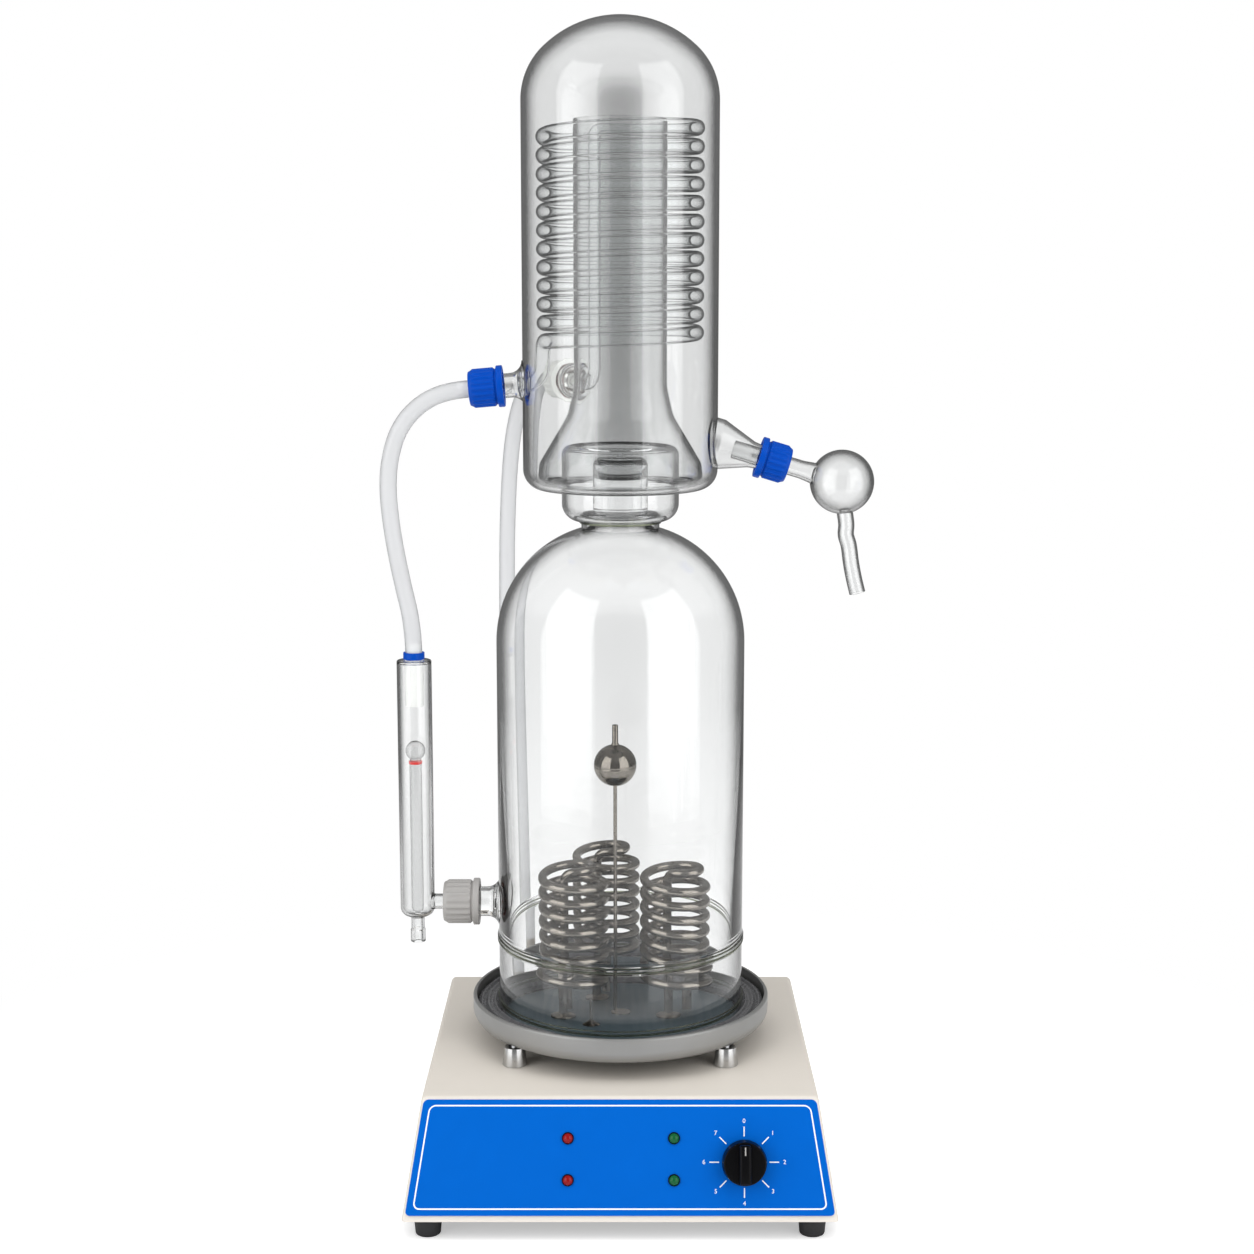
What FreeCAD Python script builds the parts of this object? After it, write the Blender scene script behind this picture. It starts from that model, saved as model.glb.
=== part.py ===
"""Glass water distiller for a laboratory bench.

Frame: +Z up, the axis of the boiler is the Z axis, the front faces -Y, and z = 0 is the bench.
All lengths are in millimetres.
"""
import FreeCAD
import Part
import Sketcher
import math
import os

# Driving sizes

SIZES = {
    # shared clearances and the overrun of every cut
    "fit_gap": 0.05,
    "running_gap": 0.3,
    "overrun": 1.0,
    # cabinet: a low frustum of folded sheet
    "sheet": 1.2,
    "cabinet_floor": 13.5,
    "cabinet_rise": 72.0,
    "cabinet_top_width": 242.5,
    "cabinet_top_depth": 233.0,
    "side_spread": 11.7,
    "front_spread": 19.8,
    "cabinet_corner": 3.0,
    "flange_width": 12.0,
    "rear_edge": 9.0,
    "vent_length": 26.0,
    "vent_width": 4.0,
    "vent_step": 9.0,
    "vent_height": 30.0,
    "vent_place": 22.0,
    "wiring_radius": 64.0,
    # printed front panel
    "panel_thick": 1.0,
    "panel_side": 1.6,
    "panel_base": 3.8,
    "panel_head": 1.6,
    # feet
    "foot_top_radius": 9.0,
    "foot_base_radius": 7.75,
    "foot_inset": 15.0,
    # screws
    "cover_screw_radius": 2.0,
    "screw_head_radius": 3.8,
    "screw_head": 2.4,
    # signal lamps, placed up the slope of the front
    "lamp_radius": 3.75,
    "lamp_dome": 2.6,
    "lamp_barrel_radius": 3.0,
    "lamp_barrel": 17.0,
    "lamp_left": 31.8,
    "lamp_right": 32.9,
    "lamp_upper": 50.0,
    "lamp_lower": 25.0,
    # selector switch and its knob
    "knob_across": 75.6,
    "knob_up": 35.7,
    "knob_radius": 13.75,
    "knob_height": 15.0,
    "knob_skirt": 3.0,
    "knob_draft": 1.0,
    "knob_hollow_radius": 9.5,
    "knob_hollow": 4.5,
    "grip_width": 7.0,
    "grip_rise": 5.0,
    "shaft_radius": 3.0,
    "shaft_bite": 4.5,
    "bush_radius": 4.8,
    "bush_rise": 3.2,
    "nut_radius": 7.5,
    "nut_thick": 2.0,
    "switch_side": 32.0,
    "switch_depth": 26.0,
    # equipment in the cabinet
    "relay_length": 60.0,
    "relay_width": 38.0,
    "relay_height": 42.0,
    "relay_across": 10.0,
    "relay_back": 30.0,
    "terminal_length": 72.0,
    "terminal_width": 20.0,
    "terminal_height": 18.0,
    "terminal_across": 40.0,
    "terminal_back": -30.0,
    "valve_length": 44.0,
    "valve_width": 24.0,
    "valve_height": 30.0,
    "valve_coil_radius": 13.0,
    # hose fittings on the cabinet
    "fitting_flange_radius": 9.0,
    "fitting_flange": 3.0,
    "fitting_thread_radius": 6.0,
    "fitting_thread": 14.0,
    "fitting_bore_radius": 2.4,
    "barb_radius": 3.9,
    "barb_length": 20.0,
    "tap_inset": 45.25,
    "tap_height": 45.0,
    "outlet_inset": 15.5,
    "gland_inset": 51.25,
    "gland_height": 42.0,
    "gland_radius": 9.5,
    "gland_dome_radius": 8.0,
    "gland_length": 18.0,
    "gland_bore_radius": 3.6,
    # tray, its legs and the plate in it
    "leg_base_radius": 8.0,
    "leg_top_radius": 6.5,
    "leg_height": 12.0,
    "tray_screw_radius": 2.4,
    "tray_margin": 17.4,
    "tray_height": 17.3,
    "tray_wall": 1.5,
    "tray_ledge": 6.2,
    "tray_corner": 8.0,
    "rim_bead": 1.0,
    "plate_thick": 4.0,
    "plate_gap": 0.8,
    "gasket_rise": 8.5,
    "guide_radius": 6.5,
    "guide_stem_radius": 5.6,
    "guide_rise": 0.8,
    "guide_stem": 16.0,
    "guide_back": -1.0,
    # heaters
    "coil_radius": 20.4,
    "rod_radius": 3.0,
    "coil_pitch": 9.75,
    "coil_lift": 24.0,
    "leg_bend": 8.0,
    "head_bend": 7.0,
    "leg_reach": 22.0,
    "leg_hole_gap": 0.7,
    "seat_radius": 8.0,
    "seat_thick": 2.0,
    "left_across": -31.0,
    "left_back": -13.0,
    "right_across": 36.0,
    "right_back": -14.0,
    "rear_across": -10.0,
    "rear_back": 33.0,
    # wire probe
    "probe_across": -19.0,
    "probe_back": -29.4,
    "probe_radius": 0.8,
    "probe_foot_radius": 5.5,
    "probe_foot": 3.5,
    "probe_rise": 18.5,
    # ball float on its rod
    "float_across": -3.5,
    "float_rod_radius": 1.3,
    "float_rod_gap": 0.1,
    "float_rod_reach": 9.0,
    "ball_radius": 14.0,
    "ball_lift": 162.5,
    "ball_neck_radius": 2.0,
    "ball_neck": 13.5,
    # boiler bell
    "bell_radius": 80.0,
    "bell_wall": 3.0,
    "bell_side_height": 246.0,
    "bell_shoulder_radius": 76.0,
    "neck_radius": 25.0,
    "neck_rise": 4.6,
    "bead_lift": 50.5,
    "bead_radius": 2.4,
    "bell_arm_lift": 72.0,
    "bell_arm_radius": 9.7,
    "bell_arm_flare": 6.0,
    # collar between bell and condenser
    "collar_radius": 37.4,
    "collar_wall": 2.4,
    "collar_corner": 11.4,
    "collar_rise": 28.0,
    "collar_brim": 6.0,
    "collar_mouth_radius": 28.0,
    "splash_radius": 17.5,
    "splash_foot_radius": 24.4,
    "splash_foot": 2.0,
    "splash_rise": 20.0,
    "splash_wall": 1.8,
    "splash_corner": 5.0,
    "teat_radius": 3.0,
    "teat_height": 5.5,
    "window_width": 13.0,
    "window_height": 10.0,
    "window_drop": 16.0,
    # condenser jacket
    "jacket_radius": 62.0,
    "jacket_wall": 2.8,
    "jacket_lift": 20.36,
    "jacket_corner": 13.0,
    "jacket_side_height": 242.0,
    "dome_rise": 51.3,
    "dome_shoulder": 44.0,
    # steam riser
    "riser_radius": 29.5,
    "riser_wall": 2.2,
    "riser_height": 231.0,
    "riser_waist_rise": 51.6,
    "riser_foot_radius": 53.0,
    "riser_foot_rise": 12.0,
    "riser_foot_bend": 6.0,
    # condenser coil
    "glass_coil_radius": 48.0,
    "glass_tube_radius": 5.0,
    "glass_coil_lift": 27.4,
    "glass_coil_pitch": 11.45,
    "glass_leg_bend": 13.0,
    "glass_head_sweep": 24.0,
    "glass_head_bend": 10.0,
    "glass_arm_bend": 10.8,
    "glass_end_reach": 64.5,
    # screw joints for hoses and the bulb
    "arm_rise": 66.6,
    "hose_arm_radius": 7.8,
    "hose_thread_radius": 9.0,
    "hose_arm_flare": 6.5,
    "hose_cap_radius": 12.4,
    "hose_cap_band_radius": 13.2,
    "hose_cap_length": 22.0,
    "hose_cap_seat": 74.0,
    "cap_band": 4.0,
    "cap_groove": 0.8,
    "cap_wall": 2.6,
    "rib_rise": 0.9,
    "seal_thick": 3.5,
    "nozzle_inside": 12.0,
    "nozzle_outside": 7.0,
    "arm_cap_radius": 14.4,
    "arm_cap_band_radius": 15.3,
    "arm_cap_length": 23.5,
    "arm_cap_stand": 12.6,
    "arm_thread_radius": 11.4,
    # right arm and the delivery bulb
    "outlet_arm_rise": 28.5,
    "outlet_mouth_radius": 16.5,
    "outlet_cap_seat": 27.0,
    "outlet_cap_length": 20.0,
    "bulb_tube_radius": 5.85,
    "bulb_tube_wall": 1.5,
    "bulb_tube_start": 10.0,
    "bulb_radius": 20.5,
    "bulb_wall": 1.8,
    "bulb_reach": 83.0,
    "spout_radius": 5.25,
    "spout_wall": 1.3,
    "spout_root_across": 1.8,
    "spout_root_drop": 17.5,
    "spout_knee_across": 4.6,
    "spout_knee_drop": 40.0,
    "spout_tip_across": 11.0,
    "spout_tip_drop": 71.5,
    # level tube
    "level_stand": 53.6,
    "level_radius": 11.25,
    "level_wall": 1.6,
    "level_drop": 9.5,
    "level_length": 170.7,
    "level_corner": 6.0,
    "level_arm_radius": 5.0,
    "level_arm_wall": 1.3,
    "level_arm_reach": 100.0,
    "drain_radius": 4.4,
    "drain_sleeve_radius": 4.9,
    "drain_drop": 9.5,
    "drain_sleeve": 8.0,
    "drain_bore_radius": 2.6,
    "inlet_radius": 6.15,
    "inlet_wall": 1.3,
    "inlet_drop": 30.0,
    "inlet_nipple": 11.0,
    "ring_radius": 6.9,
    "ring_height": 4.6,
    "float_bulb_radius": 6.5,
    "float_bulb_rise": 111.0,
    "float_stem_radius": 4.1,
    "mark_height": 2.0,
    "mark_thick": 0.3,
    # hoses
    "hose_lift": 0.6,
    "hose_radius": 5.5,
    "hose_bore_radius": 4.0,
}

# Counts, angles in degrees and shares

HEATER_TURNS = 7
RIB_COUNT = 20
VENT_COUNT = 9
WINDOW_COUNT = 3
TUBE_SIDES = 6
WIRE_SIDES = 5
PEG_SIDES = 8
BELL_CHORDS = 4
BELL_SWEEP = 62.0
DOME_CHORDS = 3
RETURN_ARM_TILT = 5.0
REAR_ARM_AZIMUTH = 120.0
OUTLET_ARM_TILT = 16.7
LEFT_HEATER_TURN = 80.0
RIGHT_HEATER_TURN = 51.0
REAR_HEATER_TURN = 70.0
ARC_SHARE = 0.45
LEG_SHARE_ACROSS = 0.68994
LEG_SHARE_BACK = 0.6232
FULL_TURN = 360.0

# Free hoses: hand-chosen points of the routes, from the cap to the far end

RETURN_HOSE = [
    (-96.2, 0.0, 510.6),
    (-109.1, 0.0, 509.5),
    (-124.8, 0.0, 502.9),
    (-137.2, 0.0, 491.3),
    (-144.9, 0.0, 476.1),
    (-149.1, 0.0, 452.5),
    (-146.8, 0.0, 422.6),
    (-141.0, 0.0, 389.6),
    (-133.6, 0.0, 358.0),
    (-133.6, 0.0, 336.8),
]
SUPPLY_HOSE = [
    (-48.2, 83.4, 513.6),
    (-57.7, 99.87, 513.6),
    (-66.3, 114.7, 504.4),
    (-72.6, 125.6, 486.6),
    (-77.2, 132.4, 460.0),
    (-80.0, 134.4, 414.0),
    (-80.6, 131.0, 362.0),
    (-80.2, 124.6, 308.0),
    (-78.8, 117.0, 254.0),
    (-77.2, 109.4, 200.0),
    (-76.0, 101.0, 144.0),
    (-76.0, 101.0, 88.6),
]


class Size:
    """A length that carries its number and the sheet formula that gives it."""

    def __init__(self, number, formula):
        self.number = float(number)
        self.formula = formula

    def _join(self, other, sign, number):
        return Size(number, "(" + self.formula + sign + as_size(other).formula + ")")

    def __add__(self, other):
        return self._join(other, " + ", self.number + as_size(other).number)

    def __radd__(self, other):
        return as_size(other) + self

    def __sub__(self, other):
        return self._join(other, " - ", self.number - as_size(other).number)

    def __rsub__(self, other):
        return as_size(other) - self

    def __mul__(self, other):
        return self._join(other, " * ", self.number * as_size(other).number)

    def __rmul__(self, other):
        return as_size(other) * self

    def __truediv__(self, other):
        return self._join(other, " / ", self.number / as_size(other).number)

    def __neg__(self):
        return Size(-self.number, "(0 - " + self.formula + ")")

    def __float__(self):
        return self.number


def as_size(value):
    """Return the value as a Size."""
    if isinstance(value, Size):
        return value
    return Size(value, repr(float(value)))


def chord_share(value):
    """Return a cosine or sine rounded, with its smallest values made zero."""
    return round(value, 6) + 0.0


def root(value):
    """Return the square root of a size."""
    return Size(math.sqrt(value.number), "sqrt(" + value.formula + ")")


class Sheet:
    """The driving sizes, each one read as an attribute."""

    def __init__(self, sizes):
        self.cells = DOC.addObject("Spreadsheet::Sheet", "sizes")
        for row, (alias, number) in enumerate(sizes.items(), start=1):
            self.cells.set("A%d" % row, alias)
            self.cells.set("B%d" % row, repr(number))
            self.cells.setAlias("B%d" % row, alias)
        DOC.recompute()

    def __getattr__(self, alias):
        return Size(self.cells.get(alias), "sizes." + alias)


class Outline:
    """A closed outline of lines and arcs, drawn point after point."""

    def __init__(self, across, up):
        self.points = [(across, up)]
        self.bends = []

    def line(self, across, up):
        """Draw a straight edge to a point."""
        self.points.append((across, up))
        self.bends.append(None)
        return self

    def arc(self, across, up, radius, turn):
        """Draw an arc to a point; turn is 1 when it bends left and -1 when it bends right."""
        self.points.append((across, up))
        self.bends.append((radius, turn))
        return self

    def sweep(self, across, up, radius, first, last, count):
        """Draw chords round a centre, from one angle in degrees to another."""
        for step in range(count + 1):
            angle = math.radians(first + (last - first) * step / count)
            self.line(across + radius * chord_share(math.cos(angle)),
                      up + radius * chord_share(math.sin(angle)))
        return self

    def join(self, other):
        """Go in a straight line to the start of another outline, then along it."""
        self.line(*other.points[0])
        self.points.extend(other.points[1:])
        self.bends.extend(other.bends)
        return self

    def back(self):
        """Return the same outline drawn from its end to its start."""
        turned_round = Outline(*self.points[-1])
        for point, bend in zip(reversed(self.points[:-1]), reversed(self.bends)):
            turned_round.points.append(point)
            turned_round.bends.append(bend and (bend[0], -bend[1]))
        return turned_round


DOC = FreeCAD.newDocument("distiller")
S = Sheet(SIZES)
ORIGIN = FreeCAD.Vector(0, 0, 0)
X_AXIS = FreeCAD.Vector(1, 0, 0)
Y_AXIS = FreeCAD.Vector(0, 1, 0)
Z_AXIS = FreeCAD.Vector(0, 0, 1)
BACK_TURN = FreeCAD.Rotation(X_AXIS, -90.0)
PARTS = []


# Drawing helpers

def bind(thing, values):
    """Set properties, and tie each one that is a Size to its formula."""
    for name, value in values.items():
        if isinstance(value, Size):
            thing.setExpression(name, value.formula)
        else:
            setattr(thing, name, value)
    return thing


def place(thing, across=0, back=0, up=0, rotation=None):
    """Set the placement, with its base tied to the sheet."""
    base = FreeCAD.Vector(float(across), float(back), float(up))
    thing.Placement = FreeCAD.Placement(base, rotation or FreeCAD.Rotation())
    for name, value in (("x", across), ("y", back), ("z", up)):
        if isinstance(value, Size):
            thing.setExpression("Placement.Base." + name, value.formula)
    return thing


def new_body(label):
    """Start a body."""
    body = DOC.addObject("PartDesign::Body", label)
    body.Label = label
    return body


def origin_plane(body, role):
    """Return one of the body's own origin planes."""
    return [feature for feature in body.Origin.OriginFeatures if feature.Role == role][0]


def arc_centre(start, end, radius, turn):
    """Return the centre of the arc between two points."""
    half = (end - start) * 0.5
    rise = math.sqrt(max(radius * radius - half.Length * half.Length, 0.0))
    side = FreeCAD.Vector(-half.y, half.x, 0).normalize()
    return start + half + side * (rise * turn)


def draw(body, role, outline, name="Profile"):
    """Draw a closed outline as a sketch whose corners and radii follow the sheet."""
    sketch = body.newObject("Sketcher::SketchObject", name)
    sketch.AttachmentSupport = [(origin_plane(body, role), "")]
    sketch.MapMode = "FlatFace"
    corners = [FreeCAD.Vector(float(across), float(up), 0) for across, up in outline.points]
    bends = outline.bends + [None]
    count = len(corners)
    for index, bend in enumerate(bends):
        start = corners[index]
        end = corners[(index + 1) % count]
        if bend is None:
            sketch.addGeometry(Part.LineSegment(start, end), False)
            continue
        radius, turn = float(bend[0]), bend[1]
        centre = arc_centre(start, end, radius, turn)
        first = math.atan2(start.y - centre.y, start.x - centre.x)
        last = math.atan2(end.y - centre.y, end.x - centre.x)
        if turn < 0:
            first, last = last, first
        if last < first:
            last += 2 * math.pi
        circle = Part.Circle(centre, Z_AXIS, radius)
        sketch.addGeometry(Part.ArcOfCircle(circle, first, last), False)
    for index in range(count):
        after = (index + 1) % count
        end_point = 1 if bends[index] is not None and bends[index][1] < 0 else 2
        start_point = 2 if bends[after] is not None and bends[after][1] < 0 else 1
        sketch.addConstraint(Sketcher.Constraint("Coincident", index, end_point, after, start_point))
    for index, (across, up) in enumerate(outline.points):
        corner = 2 if bends[index] is not None and bends[index][1] < 0 else 1
        tie(sketch, index, corner, "DistanceX", across, -2)
        tie(sketch, index, corner, "DistanceY", up, -1)
    for index, bend in enumerate(bends):
        if bend is not None:
            added = sketch.addConstraint(Sketcher.Constraint("Radius", index, float(bend[0])))
            sketch.setExpression("Constraints[%d]" % added, as_size(bend[0]).formula)
    return sketch


def tie(sketch, edge, corner, kind, value, axis):
    """Hold one corner of a sketch at its distance from an axis."""
    if float(value) == 0:
        sketch.addConstraint(Sketcher.Constraint("PointOnObject", edge, corner, axis))
        return
    added = sketch.addConstraint(Sketcher.Constraint(kind, -1, 1, edge, corner, float(value)))
    sketch.setExpression("Constraints[%d]" % added, as_size(value).formula)


def turned(label, outline):
    """Make a body that is turned about its own Z axis."""
    body = new_body(label)
    sketch = draw(body, "XZ_Plane", outline)
    turn = body.newObject("PartDesign::Revolution", "Turning")
    turn.Profile = sketch
    turn.ReferenceAxis = (sketch, ["V_Axis"])
    turn.Angle = FULL_TURN
    body.Tip = turn
    return body


def padded(label, outline, height, role="XY_Plane"):
    """Make a body that is raised from an outline."""
    body = new_body(label)
    sketch = draw(body, role, outline)
    pad = body.newObject("PartDesign::Pad", "Raising")
    pad.Profile = sketch
    bind(pad, {"Length": height})
    body.Tip = pad
    return body


def box(label, across, back, up, length, width, height):
    """Make a box whose middle stands at a place."""
    made = DOC.addObject("Part::Box", label)
    bind(made, {"Length": length, "Width": width, "Height": height})
    return place(made, across - length * 0.5, back - width * 0.5, up)


def rod(label, radius, height, across=0, back=0, up=0, rotation=None):
    """Make a cylinder whose foot stands at a place."""
    made = DOC.addObject("Part::Cylinder", label)
    bind(made, {"Radius": radius, "Height": height})
    return place(made, across, back, up, rotation)


def peg(label, radius, height, across=0, back=0, up=0, rotation=None):
    """Make an eight-sided peg whose foot stands at a place."""
    made = DOC.addObject("Part::Prism", label)
    made.Polygon = PEG_SIDES
    bind(made, {"Circumradius": radius, "Height": height})
    return place(made, across, back, up, rotation)


def fused(label, pieces):
    """Fuse pieces into one."""
    made = DOC.addObject("Part::MultiFuse", label)
    made.Shapes = pieces
    made.Refine = True
    return made


def grouped(label, pieces):
    """Keep separate solids together in one node."""
    made = DOC.addObject("Part::Compound", label)
    made.Links = pieces
    return made


def cut(label, base, tools):
    """Cut tools from a base."""
    tool = tools[0] if len(tools) == 1 else fused(label + "_tools", tools)
    made = DOC.addObject("Part::Cut", label)
    made.Base = base
    made.Tool = tool
    return made


def wedge(label, half_base, half_head, front_base, front_head, back, up, rise):
    """Make a frustum that narrows upwards, with its back upright."""
    made = DOC.addObject("Part::Wedge", label)
    bind(made, {
        "Xmin": -half_base, "Xmax": half_base, "X2min": -half_head, "X2max": half_head,
        "Zmin": -back, "Zmax": -front_base, "Z2min": -back, "Z2max": -front_head,
        "Ymin": up, "Ymax": up + rise,
    })
    made.Placement = FreeCAD.Placement(ORIGIN, FreeCAD.Rotation(X_AXIS, 90.0))
    return made


def keep(thing, label):
    """Note an object as a sub-part of the assembly."""
    thing.Label = label
    PARTS.append(thing)
    return thing


def shaped(label, shape, placement=None):
    """Keep a shape that only the geometry kernel's own functions make."""
    made = DOC.addObject("Part::Feature", label)
    made.Shape = shape
    if placement is not None:
        made.Placement = placement
    return keep(made, label)


# Frames of the sloping front and of the arms

FRONT_HALF_BASE = S.cabinet_top_width * 0.5 + S.side_spread
FRONT_HALF_HEAD = S.cabinet_top_width * 0.5
CABINET_BACK = S.cabinet_top_depth * 0.5
FRONT_FOOT = -(CABINET_BACK + S.front_spread)
CABINET_TOP = S.cabinet_floor + S.cabinet_rise
TAP_ACROSS = S.tap_inset - FRONT_HALF_HEAD
OUTLET_BACK = CABINET_BACK - S.outlet_inset
GLAND_ACROSS = FRONT_HALF_HEAD - S.gland_inset
PLATE_RADIUS = S.bell_radius - S.bell_wall - S.plate_gap
TRAY_RADIUS = S.bell_radius + S.tray_margin
TRAY_OPENING = PLATE_RADIUS - S.tray_ledge
SLOPE_LENGTH = root(S.front_spread * S.front_spread + S.cabinet_rise * S.cabinet_rise)
SLOPE_ANGLE = math.degrees(math.atan2(float(S.cabinet_rise), float(S.front_spread)))
FRONT_TURN = FreeCAD.Rotation(X_AXIS, SLOPE_ANGLE)


def on_front(thing, across=0, up=0, out=0):
    """Place a piece on the sloping front, up the slope and out along its normal."""
    base = FreeCAD.Vector(0, float(FRONT_FOOT), float(S.cabinet_floor))
    shift = FRONT_TURN.multVec(FreeCAD.Vector(float(across), float(up), float(out)))
    thing.Placement = FreeCAD.Placement(base + shift, FRONT_TURN)
    return thing


def arm_frame(azimuth, tilt, height, start=0.0):
    """Return the placement whose Z axis runs out along an arm of the condenser."""
    turn = FreeCAD.Rotation(Z_AXIS, azimuth).multiply(FreeCAD.Rotation(Y_AXIS, 90.0 + tilt))
    wall = FreeCAD.Rotation(Z_AXIS, azimuth).multVec(X_AXIS) * float(S.jacket_radius)
    base = wall + Z_AXIS * float(height)
    return FreeCAD.Placement(base + turn.multVec(Z_AXIS) * float(start), turn)


def on_arm(thing, frame, start=0):
    """Place a piece on an arm, a distance out from the wall."""
    out = frame.Rotation.multVec(Z_AXIS) * float(start)
    thing.Placement = FreeCAD.Placement(frame.Base + out, frame.Rotation)
    return thing


# Cabinet

def cabinet_wedge(label, inset, up, rise):
    """Make a frustum a set distance inside the cabinet's walls."""
    low = (up - S.cabinet_floor) / S.cabinet_rise
    high = (up + rise - S.cabinet_floor) / S.cabinet_rise
    return wedge(
        label,
        FRONT_HALF_BASE - S.side_spread * low - inset,
        FRONT_HALF_BASE - S.side_spread * high - inset,
        FRONT_FOOT + S.front_spread * low + inset,
        FRONT_FOOT + S.front_spread * high + inset,
        CABINET_BACK - inset, up, rise,
    )


def lamp_places():
    """Return the name and place of each signal lamp."""
    return (
        ("red_lamp_upper", -S.lamp_left, S.lamp_upper),
        ("red_lamp_lower", -S.lamp_left, S.lamp_lower),
        ("green_lamp_upper", S.lamp_right, S.lamp_upper),
        ("green_lamp_lower", S.lamp_right, S.lamp_lower),
    )


def foot_places():
    """Return the middle of each foot."""
    across = FRONT_HALF_BASE - S.foot_inset
    return [(sign * across, back) for sign in (-1, 1)
            for back in (FRONT_FOOT + S.foot_inset, CABINET_BACK - S.foot_inset)]


def leg_places():
    """Return the middle of each tray leg."""
    across = TRAY_RADIUS * LEG_SHARE_ACROSS
    back = TRAY_RADIUS * LEG_SHARE_BACK
    return [(across * side, back * depth) for side in (-1, 1) for depth in (-1, 1)]


def front_holes(label, thick_from, thick):
    """Make the cutters of the lamp barrels and the switch bush through the front."""
    tools = []
    for name, across, up in lamp_places():
        hole = peg(label + name, S.lamp_barrel_radius + S.fit_gap, thick)
        tools.append(on_front(hole, across, up, thick_from))
    hole = rod(label + "bush", S.bush_radius + S.fit_gap, thick)
    tools.append(on_front(hole, S.knob_across, S.knob_up, thick_from))
    return tools


def cabinet():
    """Build the painted shell, the front panel, the rear panel and the floor."""
    outer = eased("shell_eased", cabinet_wedge("shell_outer", as_size(0), S.cabinet_floor, S.cabinet_rise),
                  S.cabinet_corner)
    flange = S.cabinet_floor + S.sheet * 2
    inside = eased("shell_hollow", cabinet_wedge("shell_inside", S.sheet, flange,
                                                 S.cabinet_rise - S.sheet * 3),
                   S.cabinet_corner - S.sheet * 0.6)
    recess = cabinet_wedge("shell_recess", S.sheet, S.cabinet_floor - S.overrun, S.sheet + S.overrun)
    mouth = cabinet_wedge("shell_mouth", S.sheet + S.flange_width, S.cabinet_floor, S.sheet * 4)
    back_width = S.cabinet_top_width - (S.rear_edge + S.sheet) * 2
    back_hole = box("shell_back", as_size(0), CABINET_BACK, flange + S.rear_edge,
                    back_width, S.sheet * 4, S.cabinet_rise - S.sheet * 3 - S.rear_edge * 2)
    tools = [inside, recess, mouth, back_hole]
    tools += front_holes("shell_", -S.sheet * 3, S.sheet * 4)
    tools.append(rod("shell_wiring", S.wiring_radius, S.sheet * 4, up=CABINET_TOP - S.sheet * 2))
    for index, (across, back) in enumerate(leg_places()):
        tools.append(peg("shell_screw%d" % index, S.tray_screw_radius + S.fit_gap, S.sheet * 4,
                         across, back, CABINET_TOP - S.sheet * 2))
    tools.append(peg("shell_outlet", S.fitting_thread_radius + S.fit_gap, S.sheet * 4,
                     TAP_ACROSS, OUTLET_BACK, CABINET_TOP - S.sheet * 2))
    keep(cut("cabinet_shell_cut", outer, tools), "cabinet_shell")

    half_low = FRONT_HALF_BASE - S.side_spread * S.panel_base / SLOPE_LENGTH - S.panel_side
    head = SLOPE_LENGTH - S.panel_head
    half_high = FRONT_HALF_BASE - S.side_spread * head / SLOPE_LENGTH - S.panel_side
    outline = Outline(-half_low, S.panel_base).line(half_low, S.panel_base)
    outline.line(half_high, head).line(-half_high, head)
    panel = on_front(padded("front_panel_blank", outline, S.panel_thick))
    holes = front_holes("panel_", -S.overrun, S.panel_thick + S.overrun * 2)
    keep(cut("front_panel_cut", panel, holes), "front_panel")
    floor = cabinet_wedge("bottom_blank", S.sheet + S.fit_gap, S.cabinet_floor, S.sheet)
    keep(floor, "bottom_cover")
    rear_panel()


def outer_edges(thing):
    """Say for each edge of a frustum whether it is rounded: the top ones and the corners."""
    DOC.recompute()
    level = thing.Shape.BoundBox.ZMin + float(S.fit_gap)
    return [any(vertex.Z > level for vertex in edge.Vertexes) for edge in thing.Shape.Edges]


def eased(label, thing, corner):
    """Round the top edges and the corners of a frustum."""
    edges = []
    for index, edge in enumerate(outer_edges(thing), start=1):
        if edge:
            edges.append((index, float(corner), float(corner)))
    made = DOC.addObject("Part::Chamfer", label)
    made.Base = thing
    made.Edges = edges
    return made


def rear_screw_places():
    """Return the places of the rear panel's screws."""
    across = S.cabinet_top_width * 0.5 - S.rear_edge
    return [(side * across, up) for side in (-1, 1)
            for up in (S.cabinet_floor + S.rear_edge, CABINET_TOP - S.rear_edge)]


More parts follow.
